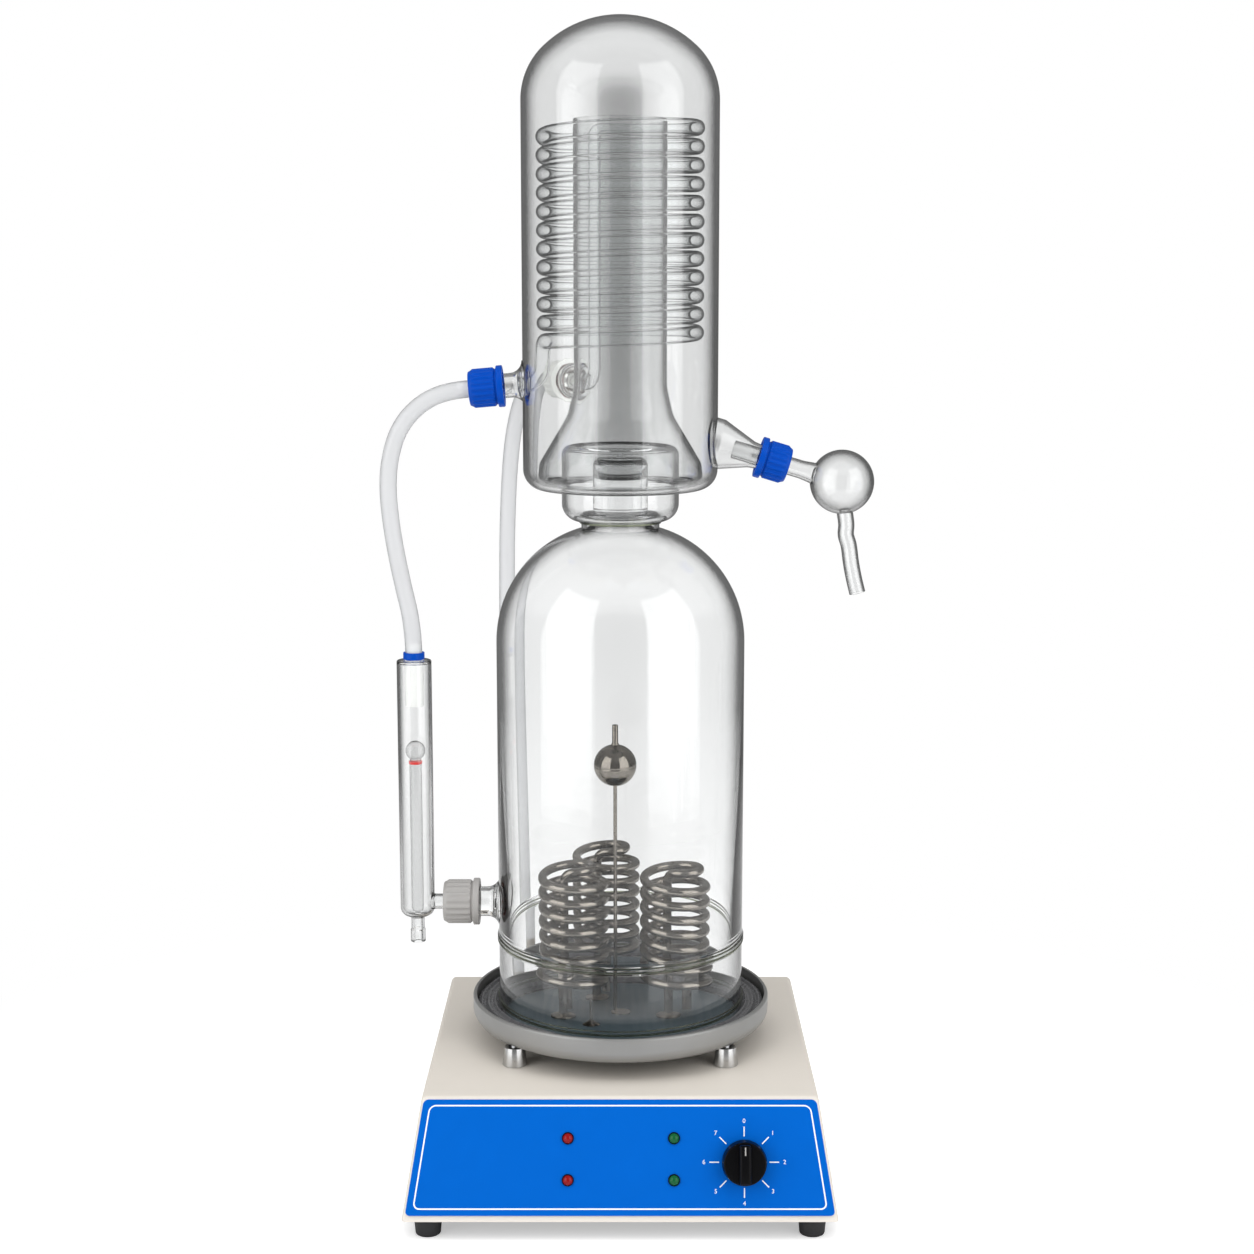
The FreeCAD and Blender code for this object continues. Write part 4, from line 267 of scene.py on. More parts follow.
class Stock:
    """The finishes, each made once."""

    def __init__(self) -> None:
        """Name the finishes and start with none made."""
        steel = (0.56, 0.57, 0.58)
        finishes = (
            Finish("cream_paint", (0.70, 0.655, 0.592), 0.42, grain=Grain.PAINT, scale=900,
                   bump=0.12, spread=0.02),
            Finish("blue_panel", (0.0, 0.107, 0.5), 0.4, grain=Grain.PAINT, scale=1400, bump=0.05,
                   spread=0.03, specular=0.05),
            Finish("zinc_sheet", steel, 0.4, 1.0, Grain.BRUSHED, 900, 0.1),
            Finish("black_rubber", (0.012, 0.012, 0.013), 0.6, grain=Grain.MOULDED, scale=1200,
                   bump=0.25),
            Finish("dark_gasket", (0.10, 0.10, 0.105), 0.28, grain=Grain.MOULDED, scale=120,
                   bump=0.5, coat=0.5, spread=0.12),
            Finish("seal_rubber", (0.30, 0.07, 0.04), 0.5, grain=Grain.MOULDED, scale=900,
                   bump=0.2),
            Finish("steel_screws", steel, 0.3, 1.0, Grain.BRUSHED, 1500, 0.1),
            Finish("red_lens", (0.25, 0.001, 0.002), 0.2, scale=500, spread=0.1, specular=0.3),
            Finish("green_lens", (0.001, 0.095, 0.026), 0.2, scale=500, spread=0.1, specular=0.3),
            Finish("black_plastic", (0.0015, 0.0015, 0.002), 0.34, grain=Grain.MOULDED,
                   scale=1100, bump=0.12, specular=0.12),
            Finish("grey_plastic", (0.33, 0.32, 0.31), 0.45, grain=Grain.MOULDED, scale=1100,
                   bump=0.12),
            Finish("white_plastic", (0.78, 0.78, 0.76), 0.4, grain=Grain.MOULDED, scale=1100,
                   bump=0.1),
            Finish("brass_fitting", (0.60, 0.44, 0.20), 0.3, 1.0, Grain.BRUSHED, 1200, 0.08),
            Finish("tray_metal", (0.285, 0.285, 0.28), 0.4, 0.55, Grain.PAINT, 1500, 0.08,
                   spread=0.04),
            Finish("plate_steel", (0.075, 0.108, 0.128), 0.36, 0.45, Grain.BRUSHED, 300, 0.05,
                   spread=0.14),
            Finish("nickel", (0.28, 0.257, 0.227), 0.11, 1.0, Grain.POLISHED, 260, spread=0.12),
            Finish("polished_steel", (0.52, 0.52, 0.52), 0.2, 1.0, Grain.POLISHED, 400,
                   spread=0.08),
            # Glass finishes: each paints shade into its colour, darker towards its outline where
            # the wall turns away from the eye.
            GlassFinish("clear_glass", ((0.0, 0.92), (0.03, 0.935), (0.06, 0.975), (0.55, 0.985),
                        (0.72, 0.62), (0.84, 0.2), (1.0, 0.05))),
            # jacket_glass also paints a grey band of shade where its wall is looked at face on.
            GlassFinish("jacket_glass", ((0.0, 0.62), (0.015, 0.70), (0.045, 0.86), (0.15, 0.915),
                        (0.52, 0.91), (0.7, 0.5), (0.84, 0.18), (1.0, 0.05))),
            GlassFinish("tube_glass", ((0.0, 0.93), (0.2, 0.92), (0.42, 0.66), (0.68, 0.25), (1.0,
                        0.05))),
            GlassFinish("float_glass", ((0.0, 0.82), (0.2, 0.78), (0.5, 0.5), (0.8, 0.15), (1.0,
                        0.05))),
            GlassFinish("inner_glass", ((0.0, 0.94), (0.2, 0.955), (0.55, 0.94), (0.8, 0.5), (1.0,
                        0.08))),
            GlassFinish("coil_glass", ((0.0, 1.0), (0.35, 0.995), (0.62, 0.88), (0.85, 0.6), (1.0,
                        0.25)), ior=1.06),
            GlassFinish("olive_glass", ((0.0, 1.0), (0.3, 1.0), (1.0, 0.15)), (0.36, 0.39, 0.28)),
            GlassFinish("frosted_glass", ((0.0, 0.91), (0.55, 0.91), (1.0, 0.5)), (0.99, 1.0,
                        0.98), 0.4, 0.5),
            Finish("blue_cap", (0.0, 0.055, 0.38), 0.3, grain=Grain.MOULDED, scale=900, bump=0.05,
                   specular=0.1),
            Finish("natural_cap", (0.78, 0.79, 0.76), 0.35, grain=Grain.MOULDED, scale=900,
                   bump=0.05),
            # hose_silicone likewise paints shade into its colour towards its outline.
            GlassFinish("hose_silicone", ((0.0, 0.68), (0.35, 0.65), (1.0, 0.32)), (0.975, 0.985,
                        1.0), 0.4, 0.6),
            Finish("red_mark", (0.62, 0.02, 0.015), 0.4, scale=600),
            Finish("white_print", (0.86, 0.87, 0.88), 0.5, scale=900, spread=0.02),
        )
        self.finishes = {finish.name: finish for finish in finishes}
        self.made: dict[str, bpy.types.Material] = {}

    def get(self, name: str) -> bpy.types.Material:
        """Return a finish's material, made when first asked for."""
        if name not in self.made:
            self.made[name] = self.finishes[name].make()
        return self.made[name]


STOCK = Stock()


def moved(x: float = 0.0, y: float = 0.0, z: float = 0.0) -> Matrix:
    """Return the placement at a point."""
    return Matrix.Translation((x, y, z))


def turned(degrees: float, axis: str) -> Matrix:
    """Return a turn about an axis."""
    return Matrix.Rotation(math.radians(degrees), 4, axis)


def shown(name: str, data: bpy.types.ID) -> bpy.types.Object:
    """Return a new object that is linked to the scene."""
    made = bpy.data.objects.new(name, data)
    bpy.context.scene.collection.objects.link(made)
    return made


def settled(thing: bpy.types.Object) -> bpy.types.Mesh:
    """Return a new mesh of an object, with its curve or its modifiers worked out."""
    graph = bpy.context.evaluated_depsgraph_get()
    return bpy.data.meshes.new_from_object(thing.evaluated_get(graph))


class Profile:
    """A line of points in a plane through an axis: distance from the axis, and height."""

    def __init__(self, radius: float, height: float) -> None:
        """Start at a point."""
        self.corners: list[tuple[float, float, float]] = [(radius, height, 0.0)]

    def to(self, radius: float, height: float, fillet: float = 0.0) -> "Profile":
        """Go straight to a point and round its corner.

        Args:
            radius: Distance from the axis.
            height: Height along the axis.
            fillet: Radius of the rounding.

        Returns:
            The profile itself.
        """
        self.corners.append((radius, height, fillet))
        return self

    def arc(self, radius: float, height: float, reach: float, first: float, last: float,
            count: int = 16) -> "Profile":
        """Follow an arc round a centre, with angles in degrees.

        Args:
            radius: The centre's distance from the axis.
            height: The centre's height.
            reach: The arc's radius.
            first: The first angle.
            last: The last angle.
            count: The number of chords.

        Returns:
            The profile itself.
        """
        for step in range(count + 1):
            angle = math.radians(first + (last - first) * step / count)
            self.to(max(0.0, radius + reach * math.cos(angle)), height + reach * math.sin(angle))
        return self

    def then(self, other: "Profile") -> "Profile":
        """Go on along another profile and return this one."""
        self.corners.extend(other.corners)
        return self

    def back(self) -> "Profile":
        """Return the same profile from its end to its start."""
        turned = Profile(*self.corners[-1][:2])
        turned.corners = list(reversed(self.corners))
        return turned

    def points(self, closed: bool = False) -> list[Vector]:
        """Round the corners and return the points.

        Args:
            closed: Whether the last corner joins the first.

        Returns:
            The points, each with its distance from the axis as x and its height as z.
        """
        count = len(self.corners)
        made: list[Vector] = []
        for index, (radius, height, fillet) in enumerate(self.corners):
            here = Vector((radius, 0, height))
            inner = closed or 0 < index < count - 1
            if not fillet or not inner:
                made.append(here)
                continue
            before = Vector((self.corners[index - 1][0], 0, self.corners[index - 1][1]))
            after_corner = self.corners[(index + 1) % count]
            after = Vector((after_corner[0], 0, after_corner[1]))
            made.extend(self._rounded(before, here, after, fillet))
        return made

    @staticmethod
    def _rounded(before: Vector, here: Vector, after: Vector, fillet: float) -> list[Vector]:
        """Return the points that round one corner."""
        back = before - here
        ahead = after - here
        spare = min(back.length, ahead.length) * 0.49
        back.normalize()
        ahead.normalize()
        half = back.angle(ahead) * 0.5
        reach = min(fillet / math.tan(half), spare)
        count = 6
        made = []
        for step in range(count + 1):
            share = step / count
            one = here + back * reach * (1 - share)
            two = here + ahead * reach * share
            made.append(one.lerp(two, share))
        return made


class Shape:
    """A mesh under work, in millimetres, with the operators that shape it."""

    def __init__(self, name: str) -> None:
        """Start an empty mesh."""
        self.name = name
        self.bm = bmesh.new()

    def spin(self, profile: Profile, closed: bool = False, steps: int = 96) -> "Shape":
        """Turn a profile about the Z axis.

        Args:
            profile: The profile.
            closed: Whether the profile is a loop.
            steps: Steps round the axis.

        Returns:
            The shape itself.
        """
        points = profile.points(closed)
        verts = [self.bm.verts.new(point) for point in points]
        edges = [self.bm.edges.new(pair) for pair in zip(verts, verts[1:])]
        if closed:
            edges.append(self.bm.edges.new((verts[-1], verts[0])))
        bmesh.ops.spin(self.bm, geom=verts + edges, cent=(0, 0, 0), axis=(0, 0, 1),
                       dvec=(0, 0, 0), angle=TURN, steps=steps, use_merge=True)
        bmesh.ops.remove_doubles(self.bm, verts=self.bm.verts, dist=0.002)
        bmesh.ops.dissolve_degenerate(self.bm, edges=self.bm.edges, dist=0.002)
        return self

    def block(self, length: float, width: float, height: float, place: Matrix,
              bevel: float = 0.0, segments: int = 3) -> "Shape":
        """Add a block with eased edges, centred on a placement.

        Args:
            length: Size along X.
            width: Size along Y.
            height: Size along Z.
            place: The placement.
            bevel: Width of the easing.
            segments: Steps of the easing.

        Returns:
            The shape itself.
        """
        made = bmesh.ops.create_cube(self.bm, size=1.0)
        verts = made["verts"]
        bmesh.ops.scale(self.bm, vec=(length, width, height), verts=verts)
        if bevel:
            edges = list({edge for vert in verts for edge in vert.link_edges})
            made = bmesh.ops.bevel(self.bm, geom=edges, offset=bevel, segments=segments,
                                   profile=0.5, affect="EDGES", material=-1)
            verts = list({vert for face in made["faces"] for vert in face.verts})
            verts = self._island(verts)
        bmesh.ops.transform(self.bm, matrix=place, verts=verts)
        return self

    def _island(self, verts: list[bmesh.types.BMVert]) -> list[bmesh.types.BMVert]:
        """Return every vertex joined to the given ones."""
        seen = set(verts)
        queue = list(verts)
        while queue:
            vert = queue.pop()
            for edge in vert.link_edges:
                other = edge.other_vert(vert)
                if other not in seen:
                    seen.add(other)
                    queue.append(other)
        return list(seen)

    def place(self, matrix: Matrix) -> "Shape":
        """Move and turn the whole mesh."""
        bmesh.ops.transform(self.bm, matrix=matrix, verts=self.bm.verts)
        return self

    def add(self, part: "Shape") -> None:
        """Take in another shape's mesh."""
        step = bpy.data.meshes.new("step")
        part.bm.to_mesh(step)
        part.bm.free()
        self.bm.from_mesh(step)
        bpy.data.meshes.remove(step)

    def done(self, sharp: float = 35.0) -> bpy.types.Object:
        """Make the object, in metres.

        Args:
            sharp: Edges past this angle in degrees stay sharp.

        Returns:
            The object.
        """
        bmesh.ops.recalc_face_normals(self.bm, faces=self.bm.faces)
        for face in self.bm.faces:
            face.smooth = True
        bmesh.ops.scale(self.bm, vec=(MM, MM, MM), verts=self.bm.verts)
        mesh = bpy.data.meshes.new(self.name)
        self.bm.to_mesh(mesh)
        self.bm.free()
        mesh.set_sharp_from_angle(angle=math.radians(sharp))
        return shown(self.name, mesh)


def joined(base: bpy.types.Object, tools: list[bpy.types.Object],
           operation: str) -> bpy.types.Object:
    """Add or cut meshes and drop the tools.

    Args:
        base: The mesh that is kept.
        tools: The meshes that are added or cut.
        operation: UNION or DIFFERENCE.

    Returns:
        The base.
    """
    for tool in tools:
        step = base.modifiers.new("step", "BOOLEAN")
        step.operation = operation
        step.solver = "EXACT"
        step.object = tool
    mesh = settled(base)
    base.modifiers.clear()
    base.data = mesh
    for tool in tools:
        bpy.data.objects.remove(tool)
    for polygon in mesh.polygons:
        polygon.use_smooth = True
    mesh.set_sharp_from_angle(angle=math.radians(38.0))
    return base


def hollow(outer: list[bpy.types.Object], inner: list[bpy.types.Object]) -> bpy.types.Object:
    """Join the outer forms and cut the joined inner forms from them.

    Args:
        outer: The outer forms.
        inner: The inner forms.

    Returns:
        The walled object.
    """
    solid = joined(outer[0], outer[1:], "UNION") if len(outer) > 1 else outer[0]
    core = joined(inner[0], inner[1:], "UNION") if len(inner) > 1 else inner[0]
    return joined(solid, [core], "DIFFERENCE")


def dress(piece: bpy.types.Object, finish: str, *nodes: str, body: str = "housing",
          slot: str = "") -> None:
    """Give a piece its finish, its body, and the nodes that it stands for.

    Args:
        piece: The piece.
        finish: The finish's name.
        nodes: The nodes that it replaces.
        body: The body that it moves with.
        slot: The record's material slot, where it differs from the finish; not used.
    """
    piece.data.materials.clear()
    piece.data.materials.append(STOCK.get(finish))
    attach(piece, body)
    if nodes:
        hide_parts(*nodes)
    if isinstance(STOCK.finishes[finish], GlassFinish):
        piece.visible_shadow = False
        piece.visible_diffuse = False
    LOG.info("%s in %s", piece.name, finish)


class Route:
    """A smooth path of straight runs, arcs and helices."""

    bend_step = 7
    turn_steps = 56

    def __init__(self, start: Vector, heading: Vector) -> None:
        """Start at a point with a heading."""
        self.points = [start.copy()]
        self.heading = heading.normalized()

    def run(self, length: float) -> "Route":
        """Go straight on."""
        self.points.append(self.points[-1] + self.heading * length)
        return self

    def run_to_height(self, height: float) -> "Route":
        """Go straight up or down to a height."""
        end = self.points[-1].copy()
        end.z = height
        self.points.append(end)
        return self

    def bend(self, side: Vector, radius: float, angle: float) -> "Route":
        """Bend to a side.

        Args:
            side: Direction of the bend's centre.
            radius: Radius of the bend.
            angle: Angle of the bend in radians.

        Returns:
            The route itself.
        """
        start = self.points[-1]
        flat = (side - self.heading * side.dot(self.heading)).normalized()
        centre = start + flat * radius
        count = max(4, int(math.degrees(angle) / self.bend_step))
        for step in range(1, count + 1):
            part = angle * step / count
            self.points.append(centre - flat * (radius * math.cos(part))
                               + self.heading * (radius * math.sin(part)))
        self.heading = self.heading * math.cos(angle) + flat * math.sin(angle)
        return self

    def wind(self, radius: float, pitch: float, turns: float, hand: int) -> "Route":
        """Wind round the Z axis from the present point.

        Args:
            radius: Radius of the winding.
            pitch: Rise of each turn.
            turns: Number of turns.
            hand: 1 when it winds anticlockwise going up, and -1 clockwise.

        Returns:
            The route itself.
        """
        start = self.points[-1]
        first = math.atan2(start.y, start.x)
        count = int(turns * self.turn_steps)
        for step in range(1, count + 1):
            share = turns * step / count
            angle = first + hand * TURN * share
            self.points.append(Vector((radius * math.cos(angle), radius * math.sin(angle),
                                       start.z + pitch * share)))
        last = first + hand * TURN * turns
        flat = Vector((-math.sin(last), math.cos(last), 0)) * hand
        rise = math.atan2(pitch, TURN * radius)
        self.heading = flat * math.cos(rise) + Vector((0, 0, math.sin(rise)))
        return self

    def tube(self, name: str, radius: float, place: Matrix, rounds: int = 5) -> bpy.types.Object:
        """Make a tube along the route.

        Args:
            name: Name of the piece.
            radius: Radius of the tube.
            place: Placement of the route.
            rounds: Resolution of the tube's section.

        Returns:
            The object, as a mesh.
        """
        curve = bpy.data.curves.new(name + "_line", "CURVE")
        curve.dimensions = "3D"
        spline = curve.splines.new("POLY")
        spline.points.add(len(self.points) - 1)
        for point, spot in zip(spline.points, self.points):
            point.co = (*((place @ spot) * MM), 1.0)
        curve.bevel_depth = radius * MM
        curve.bevel_resolution = rounds
        curve.use_fill_caps = True
        line = shown(name + "_line", curve)
        mesh = settled(line)
        bpy.data.objects.remove(line)
        mesh.name = name
        for polygon in mesh.polygons:
            polygon.use_smooth = True
        mesh.set_sharp_from_angle(angle=math.radians(50.0))
        return shown(name, mesh)


@dataclass
class Cabinet:
    """The low cabinet with its front panel, lamps, knob and feet."""

    floor: float = 13.5
    top: float = 85.5
    half_base: float = 132.95
    half_head: float = 121.25
    front_base: float = -136.3
    front_head: float = -116.5
    back: float = 116.5
    sheet: float = 1.2
    edge: float = 3.0
    panel: float = 1.0
    lamps: tuple[tuple[str, float, float, str], ...] = (
        ("red_lamp_upper", -31.8, 50.0, "red_lens"),
        ("red_lamp_lower", -31.8, 25.0, "red_lens"),
        ("green_lamp_upper", 32.9, 50.0, "green_lens"),
        ("green_lamp_lower", 32.9, 25.0, "green_lens"),
    )
    knob: tuple[float, float] = (75.6, 35.7)
    panel_low: float = 3.8
    panel_high: float = 73.1
    panel_side: float = 1.6
    line_width: float = 0.85
    marks: int = 8
    tick_start: float = 15.4
    tick_length: float = 5.8
    number_reach: float = 24.6
    foot_inset: float = 15.0
    slope_length: float = 74.67
    border_inset: float = 5.6
    border_corner: float = 4.2
    digit_size: float = 3.7

    def slope(self, across: float = 0.0, up: float = 0.0, out: float = 0.0) -> Matrix:
        """Return a placement on the sloping front.

        Args:
            across: Distance to the right.
            up: Distance up the slope.
            out: Distance out from the sheet.

        Returns:
            The placement, whose Z axis is the front's outward normal.
        """
        rise = self.top - self.floor
        angle = math.atan2(rise, self.front_head - self.front_base)
        foot = moved(y=self.front_base, z=self.floor) @ Matrix.Rotation(angle, 4, "X")
        return foot @ moved(across, up, out)

    def field_corners(self, shape: Shape, inset: float, low: float, high: float,
                      height: float) -> list[bmesh.types.BMVert]:
        """Add the four corners of a field that narrows upwards as the sloping front does.

        Args:
            shape: The shape that takes them.
            inset: Distance in from the front's edges.
            low: The lower edge's distance up the slope.
            high: The upper edge's distance up the slope.
            height: Distance out from the sheet.

        Returns:
            The corners in order.
        """
        narrowing = (self.half_base - self.half_head) / self.slope_length
        return [shape.bm.verts.new((side * (self.half_base - narrowing * up - inset), up, height))
                for side, up in ((-1, low), (1, low), (1, high), (-1, high))]

    def build(self) -> None:
        """Build every piece of the cabinet."""
        self.shell()
        self.front_panel()
        self.print_lines()
        self.lenses()
        self.knob_piece()
        self.feet()

    def shell(self) -> None:
        """Build the folded shell with rounded edges."""
        shape = Shape("cabinet_skin")
        bmesh.ops.create_cube(shape.bm, size=2.0)
        for vert in shape.bm.verts:
            high = vert.co.z > 0
            half = self.half_head if high else self.half_base
            front = self.front_head if high else self.front_base
            vert.co = Vector((math.copysign(half, vert.co.x), self.back if vert.co.y > 0 else front,
                              self.top if high else self.floor))
        shape.bm.normal_update()
        bottom = [face for face in shape.bm.faces if face.normal.z < -0.9]
        bmesh.ops.delete(shape.bm, geom=bottom, context="FACES_ONLY")
        edges = [edge for edge in shape.bm.edges if len(edge.link_faces) == 2]
        bmesh.ops.bevel(shape.bm, geom=edges, offset=self.edge, segments=5, profile=0.5,
                        affect="EDGES", material=-1)
        bmesh.ops.recalc_face_normals(shape.bm, faces=shape.bm.faces)
        bmesh.ops.solidify(shape.bm, geom=list(shape.bm.faces), thickness=self.sheet)
        skin = shape.done(30.0)
        dress(skin, "cream_paint", "cabinet_shell")

    def front_panel(self) -> None:
        """Build the blue panel with rounded corners."""
        shape = Shape("panel_face")
        verts = self.field_corners(shape, self.panel_side, self.panel_low, self.panel_high, 0.0)
        shape.bm.faces.new(verts)
        bmesh.ops.bevel(shape.bm, geom=verts, offset=3.0, segments=5, profile=0.5,
                        affect="VERTICES", material=-1)
        made = bmesh.ops.extrude_face_region(shape.bm, geom=list(shape.bm.faces))
        raised = [item for item in made["geom"] if isinstance(item, bmesh.types.BMVert)]
        bmesh.ops.translate(shape.bm, vec=(0, 0, self.panel - 0.06), verts=raised)
        shape.place(self.slope())
        plate = shape.done()
        dress(plate, "blue_panel", "front_panel")

    def print_lines(self) -> None:
        """Print the border line, the dial's ticks and its numbers."""
        shape = Shape("panel_print")
        height = self.panel - 0.02
        for grow in (0.0, self.line_width):
            verts = self.field_corners(shape, self.border_inset + grow, self.panel_low + 3.6 + grow,
                                       self.panel_high - 3.2 - grow, height)
            for one, two in zip(verts, verts[1:] + verts[:1]):
                shape.bm.edges.new((one, two))
            bmesh.ops.bevel(shape.bm, geom=verts, offset=self.border_corner - grow, segments=6,
                            profile=0.5, affect="VERTICES", material=-1)
        bmesh.ops.bridge_loops(shape.bm, edges=list(shape.bm.edges))
        across, up = self.knob
        tick = moved(y=self.tick_start + self.tick_length / 2)
        for index in range(self.marks):
            spot = moved(across, up, height) @ turned(-360 * index / self.marks, "Z")
            shape.block(0.7, self.tick_length, 0.08, spot @ tick)
        parts = [shape.place(self.slope()).done()]
        for index in range(self.marks):
            angle = TURN * index / self.marks
            parts.append(self.number(str(index), across + self.number_reach * math.sin(angle),
                                     up + self.number_reach * math.cos(angle), height))
        for part in parts:
            dress(part, "white_print", slot="white_plastic")

    def number(self, text: str, across: float, up: float, height: float) -> bpy.types.Object:
        """Make one plain number of the dial.

        Args:
            text: The number.
            across: Distance to the right of the panel's middle.
            up: Distance up the slope.
            height: Height over the sheet.

        Returns:
            The number as a mesh.
        """
        curve = bpy.data.curves.new("dial_" + text + "_line", "FONT")
        curve.body = text
        curve.size = self.digit_size * MM
        curve.align_x = "CENTER"
        curve.align_y = "CENTER"
        curve.extrude = 0.05 * MM
        line = shown(curve.name, curve)
        mesh = settled(line)
        bpy.data.objects.remove(line)
        place = self.slope(across, up, height)
        place.translation *= MM
        mesh.transform(place)
        return shown("dial_number_" + text, mesh)

    def lenses(self) -> None:
        """Build the lamps: a thin bezel and a domed lens."""
        for name, across, up, finish in self.lamps:
            height = self.panel - 0.06
            lens = Profile(0, height).to(3.0, height).to(3.0, height + 0.9)
            lens.arc(0, height - 1.2, 3.66, 35, 90, 8)
            dome = Shape(name + "_lens").spin(lens, steps=32).place(self.slope(across, up)).done()
            dress(dome, finish, name)
            rim = Profile(3.05, height).to(3.75, height, 0.2).to(3.6, height + 1.0, 0.3)
            rim.to(3.05, height + 0.9, 0.1)
            ring = Shape(name + "_bezel").spin(rim, closed=True, steps=32)
            bezel = ring.place(self.slope(across, up)).done()
            dress(bezel, "black_plastic")

    def knob_piece(self) -> None:
        """Build the knob with its grip bar."""
        low = self.panel + 0.3
        skirt = Profile(0, low + 0.2).to(13.6, low + 0.2, 0.3).to(13.75, low + 3.0, 0.5)
        skirt.to(12.9, low + 9.6, 1.0).to(0, low + 10.0)
        round_part = Shape("knob_skirt").spin(skirt, steps=72).place(self.slope(*self.knob)).done()
        bar_place = self.slope(*self.knob) @ moved(z=low + 7.6)
        bar = Shape("knob_bar").block(7.0, 23.4, 14.6, bar_place, 1.4, 4).done()
        knob = joined(round_part, [bar], "UNION")
        knob.name = "knob_grip"
        dress(knob, "black_plastic", "selector_knob", body="selector")
        line_place = self.slope(*self.knob) @ moved(y=8.2, z=low + 14.94)
        line = Shape("knob_line").block(0.8, 5.0, 0.06, line_place).done()
        dress(line, "grey_plastic", body="selector")

    def feet(self) -> None:
        """Build the rubber feet."""
        inset = self.foot_inset
        spots = [(side * (self.half_base - inset), depth) for side in (-1, 1)
                 for depth in (self.front_base + inset, self.back - inset)]
        shape = Shape("feet_rubber")
        for across, depth in spots:
            foot = Profile(0, 0.02).to(7.75, 0.02, 1.0).to(9.0, self.floor, 0.6).to(0, self.floor)
            shape.add(Shape("foot").spin(foot, steps=40).place(moved(across, depth)))
        dress(shape.done(), "black_rubber", "rubber_feet")


